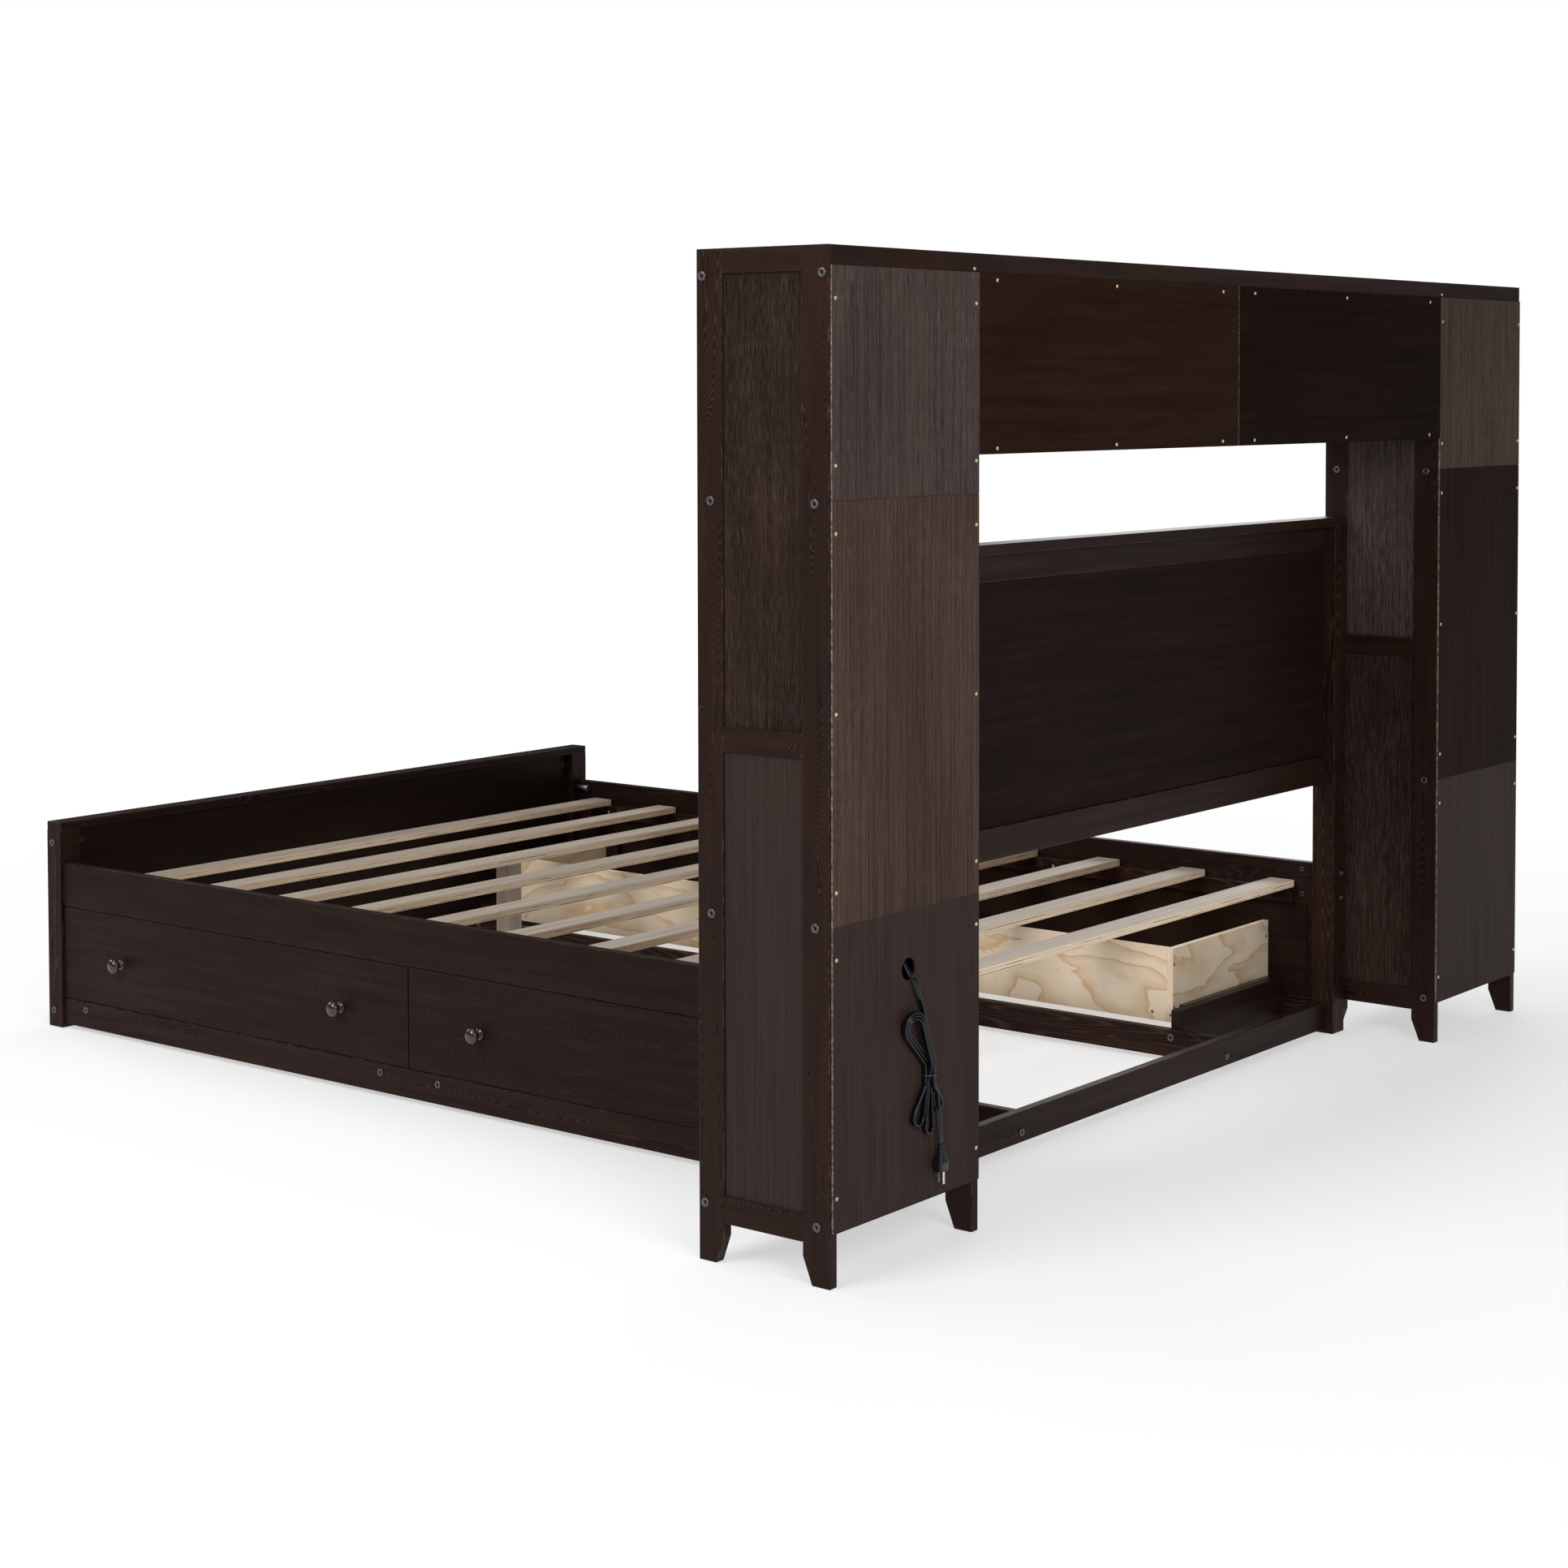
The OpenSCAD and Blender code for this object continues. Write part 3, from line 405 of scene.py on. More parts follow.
@once
def pine_face(axis):
    """Rotary-cut pine veneer: wide contour bands of tan on cream, with a few knots."""
    n = Nodes(f"pine_face_{'xyz'[axis]}")
    _, at, board = n.place()
    field = n.noise(n.scaled(at, along(axis, 0.38)), 6.0, 4.0, 0.50, 0.5)
    bands = n.math("FRACT", n.math("MULTIPLY", field, 7.0))
    fibres = n.noise(n.scaled(at, along(axis, 0.03)), 420.0, 4.0, 0.6)
    clouds = n.noise(at, 5.0, 3.0)
    cream = n.mix(n.spread(clouds, 0.35, 0.65), (0.66, 0.53, 0.385), (0.72, 0.605, 0.465))
    share = n.ramp(bands, [(0.0, (0, 0, 0)), (0.50, (0.05, 0.05, 0.05)), (0.84, (0.55, 0.55, 0.55)),
                           (0.955, (1, 1, 1)), (1.0, (0, 0, 0))])
    base = n.mix(share, cream, (0.54, 0.355, 0.190))
    cells = n.add("TexVoronoi", {"Vector": n.scaled(at, along(axis, 0.5)), "Scale": 3.1})
    knots = cells.outputs["Distance"]
    base = n.mix(n.spread(knots, 0.028, 0.05, 1.0, 0.0), base, (0.20, 0.085, 0.030))
    base = n.mix(n.spread(fibres, 0.5, 0.8, 0.0, 0.35), base, (0.58, 0.43, 0.28))
    n.put(Base_Color=base, Roughness=0.58, Specular_IOR_Level=0.35)
    n.bump(n.math("ADD", fibres, n.math("MULTIPLY", share, 0.3)), 0.25, 0.0003)
    return n.material


@once
def layered_edge(axis, name, light, dark, sheet_mm):
    """The edge of plywood: sheets of alternating grain that lie across the given axis."""
    n = Nodes(f"{name}_{'xyz'[axis]}")
    at, moved, _ = n.place()
    wobble = n.noise(moved, 6.0, 3.0)
    part = n.add("SeparateXYZ", {0: at}).outputs[axis]
    sheets = n.math("MULTIPLY_ADD", wobble, 0.25, n.math("MULTIPLY", part, 1 / (2 * sheet_mm * MM)))
    wave = n.math("PINGPONG", sheets, 0.5)
    fine, broad = [0.018] * 3, [0.12] * 3
    fine[axis] = broad[axis] = 1.0
    grit = n.noise(n.scaled(moved, tuple(fine)), 700.0, 3.0, 0.7)
    torn = n.noise(n.scaled(moved, tuple(broad)), 90.0, 3.0, 0.6)
    base = n.mix(n.spread(wave, 0.20, 0.30), light, dark)
    base = n.mix(n.spread(grit, 0.48, 0.70, 0.0, 0.5), base, shaded(dark, 0.6))
    gap = n.math("MULTIPLY", n.spread(torn, 0.50, 0.58), n.spread(wave, 0.36, 0.46))
    base = n.mix(gap, base, (0.16, 0.085, 0.045))
    n.put(Base_Color=base, Roughness=0.68, Specular_IOR_Level=0.3)
    n.bump(n.math("ADD", wave, grit), 0.35, 0.0003)
    return n.material


@once
def slat_face(axis):
    """The sanded face of a laminated slat: greyed cream with long streaks."""
    n = Nodes(f"slat_face_{'xyz'[axis]}")
    _, at, board = n.place()
    streaks = n.noise(n.scaled(at, along(axis, 0.04)), 90.0, 5.0, 0.62)
    fibres = n.noise(n.scaled(at, along(axis, 0.02)), 480.0, 4.0, 0.65)
    clouds = n.noise(n.scaled(at, along(axis, 0.3)), 6.0, 3.0)
    base = n.mix(n.spread(clouds, 0.35, 0.65), (0.330, 0.275, 0.225), (0.435, 0.365, 0.300))
    base = n.mix(n.spread(board, 0.0, 1.0, 0.0, 0.5), base, (0.34, 0.27, 0.21))
    base = n.mix(n.spread(streaks, 0.40, 0.66, 0.0, 0.6), base, (0.235, 0.190, 0.150))
    base = n.mix(n.spread(fibres, 0.5, 0.75, 0.0, 0.4), base, (0.20, 0.155, 0.120))
    n.put(Base_Color=base, Roughness=0.6, Specular_IOR_Level=0.35)
    n.bump(n.math("ADD", streaks, fibres), 0.3, 0.0003)
    return n.material


@once
def metal(name, colour, roughness, scratch_scale):
    n = Nodes(name)
    at = n.add("TexCoord").outputs["Object"]
    worn = n.noise(at, scratch_scale, 4.0, 0.6)
    base = n.mix(n.spread(worn, 0.35, 0.7), shaded(colour, 0.72), colour)
    n.put(Base_Color=base, Roughness=n.spread(worn, 0.3, 0.7, roughness - 0.06, roughness + 0.10))
    n.put(Metallic=1.0)
    n.bump(worn, 0.08, 0.0002)
    return n.material


@once
def bronze():
    """Dark bronze lacquer, worn a little towards red."""
    n = Nodes("dark_bronze")
    at = n.add("TexCoord").outputs["Object"]
    clouds = n.noise(at, 120.0, 3.0)
    base = n.mix(n.spread(clouds, 0.35, 0.7), (0.034, 0.0140, 0.0100), (0.064, 0.026, 0.017))
    n.put(Base_Color=base, Roughness=n.spread(clouds, 0.3, 0.7, 0.20, 0.32), Metallic=0.35)
    n.put(Coat_Weight=0.45, Coat_Roughness=0.10)
    return n.material


@once
def moulded(name, colour, roughness, grain_scale, gloss=0.5):
    """Moulded plastic or PVC with a fine spark-eroded grain."""
    n = Nodes(name)
    at = n.add("TexCoord").outputs["Object"]
    grain = n.noise(at, grain_scale, 3.0, 0.6)
    wipes = n.noise(at, 55.0, 3.0)
    base = n.mix(n.spread(wipes, 0.35, 0.7), colour, shaded(colour, 1.7))
    n.put(Base_Color=base, Roughness=n.spread(wipes, 0.3, 0.7, roughness - 0.05, roughness + 0.08))
    n.put(Specular_IOR_Level=gloss)
    n.bump(grain, 0.12, 0.0002)
    return n.material


def plug_shell():
    return moulded("plug_shell", (0.0050, 0.0054, 0.0066), 0.32, 900.0, 0.35)


def cord_skin():
    return moulded("cord_pvc", (0.0030, 0.0032, 0.0042), 0.22, 1400.0, 0.32)


def zinc():
    return metal("dark_zinc", (0.135, 0.135, 0.140), 0.34, 260.0)


def brass_plate():
    return metal("pale_brass", (0.86, 0.68, 0.42), 0.28, 300.0)


def nickel():
    return metal("nickel", (0.74, 0.70, 0.64), 0.24, 300.0)


# ---------------------------------------------------------------- the cord, before everything else

UNIT_LOW, UNIT_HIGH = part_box("power_unit")
LEAD_ABOVE_HOLE = 50 * MM
HOLE_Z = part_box("cord_lead")[1].z - LEAD_ABOVE_HOLE
HOLE = Vector(((UNIT_LOW.x + UNIT_HIGH.x) / 2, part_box("right_tower_back")[1].y, HOLE_Z))
CORD_W, CORD_T = 8.5 * MM, 4.2 * MM

# millimetres from the middle of the cord hole on the back panel's outer face
LEAD_ROUTE = [
    (0, -13, 50), (0, -13, 40), (0, -13, 30), (-1, -12.6, 20), (-1, -10.5, 11),
    (-2, -6.5, 2), (-3, -2, -5), (-4, 2.5, -12), (-7, 6, -20), (-10, 7.6, -29),
    (-14, 8, -40), (-20, 8, -53), (-26, 8, -68), (-31, 8, -84), (-35, 8, -100),
    (-37, 8, -116),
]
TAIL_ROUTE = [
    (-57, 12, -196), (-58, 12, -210), (-60, 12, -225), (-62, 12, -240), (-64, 12, -253),
    (-66, 12, -266), (-67, 12, -276),
]
PLUG_TOP = TAIL_ROUTE[-1]

# the hank's lanes through its tie: millimetres to the left of the hole, as seen from behind the cabinet
UP_LANES = (51.75, 33.75, 42.75)
DOWN_LANES = (56.25, 38.25, 47.25)
LAST_LANE = 42.75
# the folds: millimetres left of the hole and above it, and the radius of the cord's middle line
LOW_FOLDS = ((67, -217, 9.6), (15, -226, 13.2), (43, -246.5, 10))
TOP_FOLDS = ((1, -86, 12.7), (1, -86, 21.9), (1, -86, 17.3))
BACK_LAYER, FRONT_LAYER = 5.8, 14.3
TIE_TOP, TIE_LOW = -150, -182


def fold(centre_and_radius, before, after, y_start, y_stop):
    """Points of a clockwise arc that touches the line from before and the line to after."""
    u0, z0, radius = centre_and_radius

    def touching(point, side):
        du, dz = point[0] - u0, point[1] - z0
        return math.atan2(dz, du) + side * math.acos(radius / math.hypot(du, dz))

    start = touching(before, -1)
    sweep = (start - touching(after, 1)) % (2 * math.pi)
    steps = 10
    points = []
    for i in range(steps + 1):
        angle = start - sweep * i / steps
        y = y_start + (y_stop - y_start) * i / steps
        points.append((-u0 - radius * math.cos(angle), y, z0 + radius * math.sin(angle)))
    return points


def hank_route():
    """Down and up through the tie three times, with a fold at each end, and down again to the tail."""
    points = []
    for turn, (down, up, low, top) in enumerate(zip(DOWN_LANES, UP_LANES, LOW_FOLDS, TOP_FOLDS)):
        y_down = BACK_LAYER if turn == 0 else FRONT_LAYER
        next_down = (*DOWN_LANES[1:], LAST_LANE)[turn]
        points += [(-down, y_down, TIE_TOP), (-down, BACK_LAYER, TIE_LOW)]
        points += fold(low, (down, TIE_LOW), (up, TIE_LOW), BACK_LAYER, BACK_LAYER)
        points += [(-up, BACK_LAYER, TIE_LOW), (-up, BACK_LAYER, TIE_TOP)]
        points += fold(top, (up, TIE_TOP), (next_down, TIE_TOP), BACK_LAYER, FRONT_LAYER)
    return points + [(-LAST_LANE, FRONT_LAYER, TIE_TOP), (-LAST_LANE, FRONT_LAYER, TIE_LOW)]


def evenly_spaced(points, step):
    """Points one step apart along a line, with the line's own two ends."""
    spaced, left = [points[0]], step
    for a, b in zip(points, points[1:]):
        while (b - a).length >= left:
            a = a + (b - a).normalized() * left
            spaced.append(a)
            left = step
        left -= (b - a).length
    if left < step / 2:
        spaced.append(points[-1])
    else:
        spaced[-1] = points[-1]
    return spaced


def smooth_route(points, step=1.5 * MM, passes=12):
    """One smooth line through the route: each pass moves a point a little towards its neighbours."""
    line = evenly_spaced(points, step)
    for _ in range(passes):
        inner = [(a + 2 * b + c) / 4 for a, b, c in zip(line, line[1:], line[2:])]
        line = [line[0], *inner, line[-1]]
    return evenly_spaced(line, step)


def cord_profile():
    """Three round cores side by side under one skin: points as shares along the width and the thickness."""
    core, apart, count = CORD_T / 2, (CORD_W - CORD_T) / 2, 28
    points = []
    for k in range(count):
        a = 2 * math.pi * k / count
        x = CORD_W / 2 * math.cos(a)
        nearest = min((-apart, 0.0, apart), key=lambda c: abs(x - c))
        y = math.sqrt(max(core ** 2 - (x - nearest) ** 2, 0.0))
        points.append((x, math.copysign(y, math.sin(a)) if abs(math.sin(a)) > 1e-6 else 0.0))
    return points


def sweep_cord():
    """The flat cord from the power unit to the plug, and the line that it follows."""
    lead = [HOLE + Vector(p) * MM for p in LEAD_ROUTE]
    hank = [HOLE + Vector(p) * MM for p in hank_route()]
    tail = [HOLE + Vector(p) * MM for p in TAIL_ROUTE]
    line = smooth_route(lead + hank + tail)
    lead_end = min(range(len(line) // 2), key=lambda i: (line[i] - lead[-1]).length)
    # the cord lies flat on the panel at both ends and on its edge in the hank; counted in points of the line
    untwist, flat_end = 52, 4
    shape, rings = Shape(), []
    for i, at in enumerate(line):
        if i < lead_end:
            quarter = i / lead_end
        else:
            quarter = min(max((len(line) - 1 - flat_end - i) / untwist, 0.0), 1.0) ** 0.7
        turn = -math.radians(90) * (3 - 2 * quarter) * quarter ** 2
        ahead = (line[min(i + 1, len(line) - 1)] - line[max(i - 1, 0)]).normalized()
        want = Vector((math.cos(turn), math.sin(turn), 0))
        wide = (want - ahead * want.dot(ahead)).normalized()
        thick = ahead.cross(wide)
        rings.append([at + wide * a + thick * b for a, b in cord_profile()])
    shape.add(rings)
    cord = shape.piece("power_cord", cord_skin(), ROOT, "cord_pvc")
    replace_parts(cord, "cord_lead", "cord_hank", "cord_tail")
    return cord, line


def rounded(width, depth, height, power=4.0, count=32):
    """A rounded rectangle round Z, for the plug's sections."""
    points = []
    for k in range(count):
        a = 2 * math.pi * k / count
        c, s = math.cos(a), math.sin(a)
        x = math.copysign(abs(c) ** (2 / power), c) * width / 2
        y = math.copysign(abs(s) ** (2 / power), s) * depth / 2
        points.append((x, y, height))
    return points


def make_plug():
    """A moulded plug: a ribbed strain relief, a flared grip with ridges and a flat face."""
    # a section is its width, depth, height in millimetres, and how square it is
    sections = [(9.6, 5.4, 0.0, 2.6)]
    for i in range(3):
        z, grow = -1.0 - 3.9 * i, 0.6 * i
        sections += [(10.6 + grow, 7.4 + grow, z, 3), (11.4 + grow, 8.4 + grow, z - 0.5, 3),
                     (11.4 + grow, 8.4 + grow, z - 2.0, 3), (9.8 + grow, 6.8 + grow, z - 2.5, 3),
                     (9.8 + grow, 6.8 + grow, z - 3.5, 3)]
    for i in range(5):
        z, wide, deep = -13.0 - 3.1 * i, 12.4 + 2.25 * i, 9.4 + 1.6 * i
        sections += [(wide, deep, z, 4.5), (wide + 1.6, deep + 1.1, z - 2.4, 5),
                     (wide + 1.2, deep + 0.8, z - 2.8, 5)]
    sections += [(23.0, 17.0, -29.2, 6), (23.0, 17.0, -30.4, 6), (22.0, 16.2, -30.9, 6),
                 (21.0, 15.6, -41.2, 6), (20.2, 14.8, -42.0, 6)]
    shape = Shape()
    rings = [rounded(w * MM, d * MM, z * MM, p) for w, d, z, p in sections]
    shape.add([list(reversed(r)) for r in rings], place=Matrix.Translation(HOLE + Vector(PLUG_TOP) * MM))
    plug = shape.piece("plug", plug_shell(), ROOT, "black_plastic")
    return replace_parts(plug, "plug_body")


def make_tie():
    """A thin black tie round the middle of the hank."""
    slack = 2.6
    left, right = -max(DOWN_LANES) - slack, -min(UP_LANES) + slack
    low_y, mid_y, top_y = BACK_LAYER - 4.7, BACK_LAYER + 4.3, FRONT_LAYER + 4.7
    top_half = 3.2
    loop = [(left, low_y), (right, low_y), (right, mid_y), (top_half - LAST_LANE, top_y),
            (-top_half - LAST_LANE, top_y), (left, mid_y)]
    for _ in range(3):
        # each pass cuts the loop's corners at a quarter of its sides
        sides = [(Vector(p), Vector(q)) for p, q in zip(loop, loop[1:] + loop[:1])]
        loop = [p + (q - p) * share for p, q in sides for share in (0.25, 0.75)]
    middle = sum(loop, Vector((0, 0))) / len(loop)
    thick, wide, tie_z = 0.40, 1.1, (TIE_TOP + TIE_LOW) / 2
    shape, rings = Shape(), []
    for point in loop:
        out = (point - middle).normalized()
        section = [(-thick, -wide), (thick, -wide), (thick, wide), (-thick, wide)]
        at, out = Vector((point.x, point.y, tie_z)), Vector((out.x, out.y, 0))
        rings.append([HOLE + (at + out * a + Vector((0, 0, b))) * MM for a, b in section])
    rings.append(rings[0])
    shape.add(rings, closed_ends=False)
    black = moulded("tie", (0.016, 0.016, 0.017), 0.45, 900.0)
    return shape.piece("cord_tie", black, ROOT, "black_plastic", smooth=False)


def make_strain_relief():
    """The ribbed sleeve that the cord leaves the power unit through, tapering down to the cord."""
    # sections as in the plug
    sections = [(14.0, 10.0, 0.0, 4), (14.0, 10.0, -2.5, 4), (12.0, 8.0, -3.2, 3)]
    for i in range(4):
        z, slim = -4.4 - 4.2 * i, 0.45 * i
        sections += [(12.4 - slim, 8.4 - slim, z, 3), (12.4 - slim, 8.4 - slim, z - 2.2, 3),
                     (11.0 - slim, 6.8 - slim, z - 2.7, 3), (11.0 - slim, 6.8 - slim, z - 3.7, 3)]
    sections += [(9.6, 5.4, -22.0, 2.8)]
    shape = Shape()
    shape.add([rounded(w * MM, d * MM, z * MM, p) for w, d, z, p in sections],
              place=Matrix.Translation(HOLE + Vector(LEAD_ROUTE[0]) * MM))
    return shape.piece("strain_relief", plug_shell(), ROOT, "black_plastic")


cord, cord_line = sweep_cord()
pieces_on_cord = [make_strain_relief(), make_tie(), make_plug(), NODES["plug_blades"]]


# ---------------------------------------------------------------- boards that come from the frame

def ease(piece, width, edge_material=None):
    """Eases the edges of a frame node with modifiers."""
    weld = piece.modifiers.new("weld", "WELD")
    weld.merge_threshold = 1e-5
    bevel = piece.modifiers.new("eased_edges", "BEVEL")
    bevel.width, bevel.segments, bevel.limit_method = width, 2, "ANGLE"
    bevel.angle_limit = math.radians(35)
    if edge_material is not None:
        bevel.material = edge_material


def flat_shaded(mesh):
    """Drops the smooth shading that a frame node comes with."""
    if "custom_normal" in mesh.attributes:
        mesh.attributes.remove(mesh.attributes["custom_normal"])
    mesh.polygons.foreach_set("use_smooth", [False] * len(mesh.polygons))


SMALL = 12 * MM


def dress_boards(name, face=None, pick=None, axis=None, edges=1.2 * MM, edge=None, side=None, small=None):
    """Gives each board of a node its materials.

    face makes the material of its flat sides for the axis of its grain, and pick finds such a maker from
    the board's low corner instead. side makes the material of a sheet's outline, small is for solids of
    no size, such as pins, and edge is for its eased edges, whose width is edges."""
    node = NODES[name]
    mesh = node.data
    flat_shaded(mesh)
    mesh.materials.clear()
    slots = {}

    def slot_of(material):
        if material.name not in slots:
            slots[material.name] = len(mesh.materials)
            mesh.materials.append(material)
        return slots[material.name]

    for faces, low, high in sorted(solids(mesh), key=lambda found: found[1].z):
        grain, thin = longest(low, high) if axis is None else axis, thinnest(low, high)
        sheet = face if pick is None else pick(low)
        tiny = small is not None and max(high - low) < SMALL
        for f in faces:
            polygon = mesh.polygons[f]
            if tiny:
                polygon.material_index = slot_of(small)
            elif side is not None and at_outline(polygon, low, high, thin):
                polygon.material_index = slot_of(side(thin))
            else:
                polygon.material_index = slot_of(sheet(grain))
    if edges:
        ease(node, edges, None if edge is None else slot_of(edge))


def solid(axis):
    return stained_wood("solid", axis)


def panel(axis):
    return stained_wood("panel", axis)


def head_panel(axis):
    return stained_wood("head", axis)


def ply(axis):
    return stained_wood("ply", axis)


def dark_ply(axis):
    return stained_wood("dark_ply", axis)


def bridge_sheet(low):
    """The bridge's left back sheet, on the far side, gets the ply at half its brightness: painted shade where
    the light falls off.
    """
    return ply if low.x > 0 else dark_ply



def at_outline(polygon, low, high, thin):
    """Whether a face is on a sheet's outline, and not on its flat sides or in a hole."""
    if abs(polygon.normal[thin]) > 0.9:
        return False
    across = max(range(3), key=lambda k: abs(polygon.normal[k]))
    edge = high[across] if polygon.normal[across] > 0 else low[across]
    return abs(polygon.center[across] - edge) < 1 * MM


def by_height(name, tones):
    """Picks a sheet's veneer from its height: the tones run from the lowest sheet to the highest."""
    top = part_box(name)[1].z

    def pick(low):
        tone = tones[min(int(low.z / top * len(tones)), len(tones) - 1)]
        return lambda axis: veneer(tone, axis)

    return pick


def raw_edge(_):
    return pale_and_highlit_edge()


def box_edge(thin):
    return layered_edge(thin, "box_edge", (0.80, 0.68, 0.52), (0.66, 0.50, 0.34), 1.7)


def slat_edge(_):
    return layered_edge(Z, "slat_edge", (0.86, 0.71, 0.53), (0.79, 0.63, 0.45), 3.0)


# the veneers of each tower's side panels and back panels, from the lowest to the highest
PANEL_TONES = {"right": ("plain", "dark"), "left": ("dark", "grey")}
BACK_TONES = {"right": ("plain", "warm", "grey"), "left": ("plain", "deep", "warm")}


def dress_frame():
    for name in ("headboard_posts", "headboard_rails", "headboard_cap", "footboard_posts",
                 "footboard_rails", "footboard_cap", "low_side_rails", "inner_rails", "drawer_guides",
                 "slat_ledgers", "end_fillers", "top_rims", "bridge_boards"):
        dress_boards(name, solid, edge=worn_and_highlit_edge())
    for name in ("footboard_panel", "upper_side_rails"):
        dress_boards(name, panel, edge=worn_and_highlit_edge())
    dress_boards("headboard_panel", head_panel, edge=worn_and_highlit_edge())
    dress_boards("slats", slat_face, edges=0.5 * MM, side=slat_edge)
    dress_boards("slat_legs", slat_face, edges=1.0 * MM)
    dress_boards("bridge_back", pick=bridge_sheet, axis=X, edges=0, side=raw_edge)
    for side in SIDES:
        dress_boards(f"{side}_tower_frames", solid, edge=worn_and_highlit_edge())
        panels, back = f"{side}_tower_panels", f"{side}_tower_back"
        dress_boards(panels, pick=by_height(panels, PANEL_TONES[side]), axis=Z, edges=0)
        dress_boards(back, pick=by_height(back, BACK_TONES[side]), axis=Z, edges=0, side=raw_edge)
        dress_boards(f"{side}_tower_shelves", solid, edge=worn_and_highlit_edge(), small=zinc())
        dress_boards(f"{side}_door", solid, edge=worn_and_highlit_edge())
        for row in ("foot", "head"):
            dress_boards(f"{side}_{row}_drawer_front", panel, edges=0.8 * MM)
            dress_boards(f"{side}_{row}_drawer_box", pine_face, edges=0.5 * MM, side=box_edge)


def coat(name, material):
    node = NODES[name]
    node.data.materials.clear()
    node.data.materials.append(material)


def dress_metal_and_plastic():
    names = ["slide_channels", "hinge_pins"]
    names += [n for n in NODES if n.endswith(("_drawer_slides", "_door_hinges"))]
    for name in names:
        coat(name, zinc())
    coat("plug_blades", nickel())
    for name in ("power_unit", "power_faceplate"):
        coat(name, moulded("unit_plastic", (0.014, 0.014, 0.015), 0.36, 700.0))
    flat_shaded(NODES["power_faceplate"].data)
    ease(NODES["power_faceplate"], 0.8 * MM)


# ---------------------------------------------------------------- fasteners and knobs

def hexagon(a):
    """The outline of a hexagon socket: its radius at an angle, as a share of its corner's."""
    sixth = math.pi / 3
    return math.cos(sixth / 2) / math.cos(a % sixth - sixth / 2)


def cross(a):
    """The outline of a cross recess: its radius at an angle, as a share of its tips'."""
    return 0.42 + 0.58 * abs(math.cos(2 * a)) ** 3


def head_rings(radius, rise, recess_radius, depth, outline):
    """A screw or bolt head from its rim over its rounded top into the recess for the tool."""
    dome = [(0.98, 0.0), (1.0, 0.30), (0.96, 0.72), (0.84, 1.0)]
    head = [ring(radius * wide, rise * high) for wide, high in dome] + [ring(recess_radius * 1.30, rise)]
    recess = [(1.06, rise * 0.88), (1.0, rise * 0.75), (0.92, rise - depth)]
    return head + [ring(recess_radius * wide, high, outline=outline) for wide, high in recess]


def middle_of(points):
    low, high = corners(points)
    return (low + high) / 2


def head_face(points, axis, low, high):
    """The points of a fastener's head face, and its direction: a disc, so wide both ways."""
    ends = []
    for sign, level in ((1, high[axis]), (-1, low[axis])):
        end = [p for p in points if abs(p[axis] - level) < 0.2 * MM]
        end_low, end_high = corners(end)
        ends.append((min((end_high - end_low)[k] for k in range(3) if k != axis), sign, end))
    _, sign, end = max(ends, key=lambda found: found[0])
    return end, sign


SHANK_R = 3.0 * MM
HEAD_RISE = 1.8 * MM
RIM = 0.8 * MM
# the middle of the headboard's cross rail, and how far from its end the nut sits
CROSS_RAIL_Z = 536.5 * MM
NUT_INSET = 15 * MM
# a bolt's own collar ends within this length of its head, and its nut starts past it
HEAD_ZONE = 8 * MM


def nut_rings(radius, length):
    """A barrel nut from its buried end to its open face."""
    rings = [ring(radius, -length), ring(radius, -0.4 * MM), ring(radius * 0.92, 0.0)]
    return rings + [ring(radius * 0.66, 0.0), ring(radius * 0.60, -0.9 * MM)]


def add_nut(shape, points, seat):
    """A barrel nut across a bolt's tip, open at its inner face."""
    low, high = corners(points)
    axis = longest(low, high)
    sign = -1 if axis == X and seat.x > 0 else 1
    face = (low + high) / 2
    face[axis] = high[axis] if sign > 0 else low[axis]
    radius, length = min(high - low) / 2, (high - low)[axis]
    shape.add(nut_rings(radius, length), place=facing(face, axis, sign))


def make_bolts():
    """Ring-headed bolts with a hexagon socket, and the barrel nuts that the long ones screw into."""
    bolts, nuts = Shape(), Shape()
    mesh = NODES["frame_bolts"].data
    for faces, low, high in solids(mesh):
        points = [mesh.vertices[v].co.copy() for f in faces for v in mesh.polygons[f].vertices]
        axis = longest(low, high)
        head, sign = head_face(points, axis, low, high)
        seat = middle_of(head)
        seat[axis] -= sign * HEAD_RISE
        length = (high - low)[axis] - HEAD_RISE
        radius = max((p - middle_of(head)).length for p in head) + RIM
        rings = [ring(SHANK_R * 0.9, -length), ring(SHANK_R, -length + 1.2 * MM), ring(SHANK_R, 0.0)]
        rings += head_rings(radius, HEAD_RISE, 3.6 * MM, 3.4 * MM, hexagon)
        bolts.add(rings, place=facing(seat, axis, sign))
        nut = []
        for p in points:
            off = p - seat
            off[axis] = 0
            if off.length > SHANK_R * 1.1 and abs(p[axis] - seat[axis]) > HEAD_ZONE:
                nut.append(p)
        if nut:
            add_nut(nuts, nut, seat)
    rail_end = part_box("headboard_rails")[1]
    for s in SIDES.values():
        seat = Vector((s * (rail_end.x - NUT_INSET), rail_end.y + 0.2 * MM, CROSS_RAIL_Z))
        nuts.add(nut_rings(5.0 * MM, 12 * MM), place=facing(seat, Y, 1))
    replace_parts(bolts.piece("bolts", zinc(), ROOT, "gunmetal"), "frame_bolts")
    nuts.piece("barrel_nuts", zinc(), ROOT, "gunmetal")


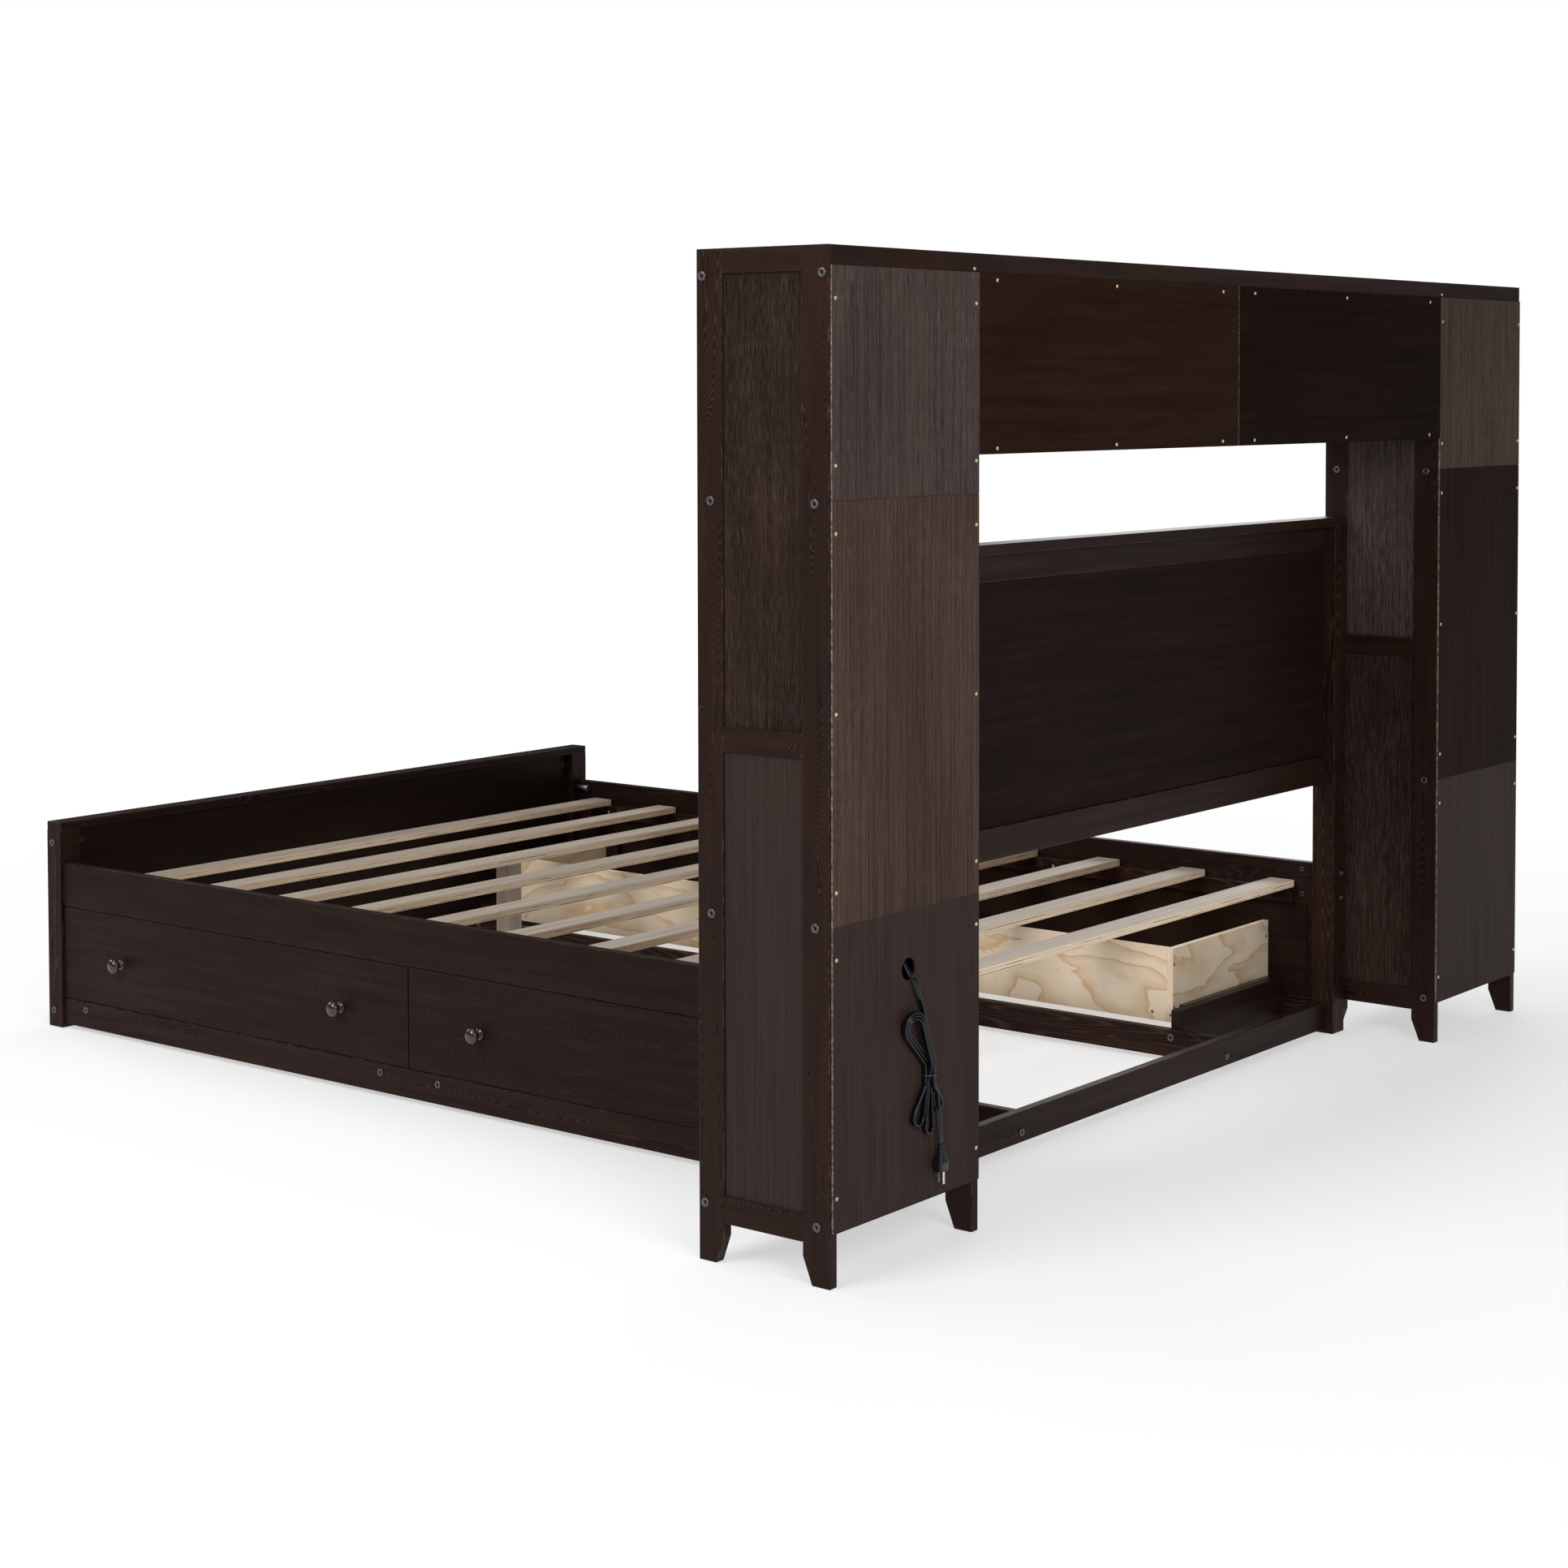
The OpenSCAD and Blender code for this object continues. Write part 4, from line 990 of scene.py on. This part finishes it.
def make_back_screws():
    """Domed screws with a cross recess, round the edges of the back panels."""
    shape = Shape()
    for _, low, high in solids(NODES["back_screws"].data):
        seat = (low + high) / 2
        rise = 1.0 * MM
        seat.y = high.y - rise
        rings = [ring(0.4 * MM, -14 * MM), ring(1.6 * MM, -11 * MM), ring(1.6 * MM, 0.0)]
        rings += head_rings(3.2 * MM, rise, 1.9 * MM, 0.7 * MM, cross)
        shape.add(rings, place=facing(seat, Y, 1))
    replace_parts(shape.piece("panel_screws", brass_plate(), ROOT, "brass_screw"), "back_screws")


# a knob's radius at each height over the board, in millimetres
KNOB = [(10.4, 0.0), (10.6, 0.8), (10.2, 2.2), (8.6, 3.1), (6.6, 3.9), (5.6, 5.6), (5.4, 8.4), (5.8, 11.2),
        (7.6, 13.2), (11.2, 14.7), (13.8, 16.2), (14.8, 18.0), (15.0, 19.6), (14.7, 21.4), (13.6, 23.6),
        (11.6, 25.7), (8.8, 27.4), (5.4, 28.5), (2.0, 28.95)]


def make_knobs(name):
    """Turned knobs in the places of a node's plain ones."""
    shape = Shape()
    for _, low, high in solids(NODES[name].data):
        axis = thinnest(low, high)
        middle = (low + high) / 2
        sign = (1 if middle.x > 0 else -1) if axis == X else -1
        seat = Vector(middle)
        seat[axis] = low[axis] if sign > 0 else high[axis]
        shape.add([ring(r * MM, z * MM, 40) for r, z in KNOB], place=facing(seat, axis, sign))
    made = shape.piece(name + "_turned", bronze(), BODY_OF[name], "bronze")
    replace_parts(made, name)


def wood_screw(shape, at, axis, sign, radius=3.4 * MM):
    """A countersunk screw head, just proud of the wood."""
    count, rise = 16, 0.3 * MM
    shank = [(0.3 * MM, -12 * MM), (1.5 * MM, -9 * MM), (1.5 * MM, -2 * MM)]
    head = [(radius, 0.0), (radius * 0.92, rise), (radius * 0.62, rise)]
    recess = [(radius * 0.5, rise * 0.6), (radius * 0.44, -0.9 * MM)]
    rings = [ring(r, z, count) for r, z in shank + head] + [ring(r, z, count, cross) for r, z in recess]
    shape.add(rings, place=facing(at, axis, sign))


def make_drawer_screws():
    """Screws through each drawer box: four in each side board, two and two low ones in its back."""
    for side, s in SIDES.items():
        for row in ("foot", "head"):
            name = f"{side}_{row}_drawer_box"
            low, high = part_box(name)
            back_x = low.x if s > 0 else high.x
            front_x = high.x if s > 0 else low.x
            columns = (back_x + s * 6 * MM, front_x - s * 9 * MM)
            rows = (low.z + 28 * MM, high.z - 32 * MM)
            shape = Shape()
            for y, face in ((low.y, -1), (high.y, 1)):
                for x in columns:
                    for z in rows:
                        wood_screw(shape, Vector((x, y, z)), Y, face)
                for inset, up, radius in ((46, 16, 3.4), (5, 14, 2.8)):
                    at = Vector((back_x, y - face * inset * MM, low.z + up * MM))
                    wood_screw(shape, at, X, -s, radius * MM)
            finish = metal("box_screw", (0.16, 0.12, 0.08), 0.45, 300.0)
            shape.piece(f"{side}_{row}_box_screws", finish, BODY_OF[name], "brass_screw")


def make_slat_screws():
    """A screw through each end of every slat, one over each leg, and a row through each ledger."""
    shape = Shape()
    tops = [(low, high) for _, low, high in solids(NODES["slats"].data)]
    ledger_low, ledger_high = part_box("slat_ledgers")
    for low, high in tops:
        for s in SIDES.values():
            at = Vector((s * (high.x - 6 * MM), (low.y + high.y) / 2, high.z))
            wood_screw(shape, at, Z, 1, 3.0 * MM)
    for _, low, high in solids(NODES["slat_legs"].data):
        wood_screw(shape, Vector((0, (low.y + high.y) / 2, tops[0][1].z)), Z, 1, 3.6 * MM)
    count, inset = 8, 60 * MM
    ledger_in = ledger_high.x - 20 * MM
    for s in SIDES.values():
        for i in range(count):
            y = ledger_low.y + inset + i * (ledger_high.y - ledger_low.y - 2 * inset) / (count - 1)
            at = Vector((s * ledger_in, y, (ledger_low.z + ledger_high.z) / 2))
            wood_screw(shape, at, X, -s, 3.4 * MM)
    finish = metal("pale_zinc", (0.80, 0.77, 0.70), 0.3, 300.0)
    shape.piece("slat_screws", finish, ROOT, "brass_screw")


# ---------------------------------------------------------------- floor and light

WHITE = (1.0, 1.0, 1.0)
# the floor is as bright as the background from the far radius on, and half lit up to the near one
FLOOR_R, FADE_NEAR, FADE_FAR, FLOOR_DROP = 40.0, 1.2, 3.4, 0.0005
LAMPS = [
    # name, place, what it shines at, width and height, watts
    ("key", (5.5, -0.5, 4.2), (0.3, 0.0, 0.5), (3.0, 3.0), 230),
    ("back", (2.6, 4.4, 2.6), (0.8, 1.1, 0.7), (2.4, 2.0), 110),
    ("top", (0.0, -0.5, 5.5), (0.0, 0.0, 0.0), (5.0, 4.0), 110),
    ("left", (-5.5, -1.5, 3.2), (-0.5, -0.2, 0.6), (3.0, 2.5), 120),
    ("foot", (0.5, -6.0, 3.4), (0.0, -0.5, 0.6), (3.5, 2.5), 150),
]


def make_world():
    """A white background that lights the object only a little."""
    world = bpy.data.worlds.new("studio")
    bpy.context.scene.world = world
    world.use_nodes = True
    tree = world.node_tree
    tree.nodes.clear()
    seen = tree.nodes.new("ShaderNodeBackground")
    seen.inputs["Color"].default_value = (*WHITE, 1)
    seen.inputs["Strength"].default_value = 1.0
    lit = tree.nodes.new("ShaderNodeBackground")
    lit.inputs["Color"].default_value = (0.96, 0.98, 1.0, 1)
    lit.inputs["Strength"].default_value = 0.10
    path = tree.nodes.new("ShaderNodeLightPath")
    both = tree.nodes.new("ShaderNodeMixShader")
    out = tree.nodes.new("ShaderNodeOutputWorld")
    tree.links.new(path.outputs["Is Camera Ray"], both.inputs[0])
    tree.links.new(lit.outputs[0], both.inputs[1])
    tree.links.new(seen.outputs[0], both.inputs[2])
    tree.links.new(both.outputs[0], out.inputs[0])


def make_floor():
    """A pale floor that fades into the background."""
    n = Nodes("pale_floor")
    at = n.add("TexCoord").outputs["Object"]
    away = n.add("VectorMath", {0: at}, operation="LENGTH").outputs["Value"]
    fade = n.spread(away, FADE_NEAR, FADE_FAR, 0.5, 1.0)
    n.put(Base_Color=(0.90, 0.90, 0.90), Roughness=0.85, Specular_IOR_Level=0.1)
    glow = n.add("Emission", {"Color": (*WHITE, 1), "Strength": 1.0})
    mixed = n.add("MixShader", {0: fade, 1: n.shader.outputs[0], 2: glow.outputs[0]})
    n.tree.links.new(mixed.outputs[0], n.tree.nodes["Material Output"].inputs["Surface"])
    points = ring(FLOOR_R, 0, 96)
    floor = add_piece("floor", points, [tuple(range(len(points)))], n.material, False)
    floor.location.z = -FLOOR_DROP


def make_lamps():
    for name, place, aim, size, watts in LAMPS:
        data = bpy.data.lights.new(name, "AREA")
        data.shape, data.size, data.size_y, data.energy = "RECTANGLE", *size, watts
        lamp = bpy.data.objects.new(name, data)
        lamp.location = place
        lamp.visible_camera = False
        lamp.rotation_mode = "QUATERNION"
        lamp.rotation_quaternion = (Vector(aim) - Vector(place)).to_track_quat("-Z", "Y")
        bpy.context.scene.collection.objects.link(lamp)


dress_frame()
dress_metal_and_plastic()
make_bolts()
make_back_screws()
for knob_node in [n for n in NODES if n.endswith(("_knobs", "_door_knob"))]:
    make_knobs(knob_node)
make_drawer_screws()
make_slat_screws()
make_world()
make_floor()
make_lamps()
bpy.context.scene.view_settings.view_transform = "Standard"
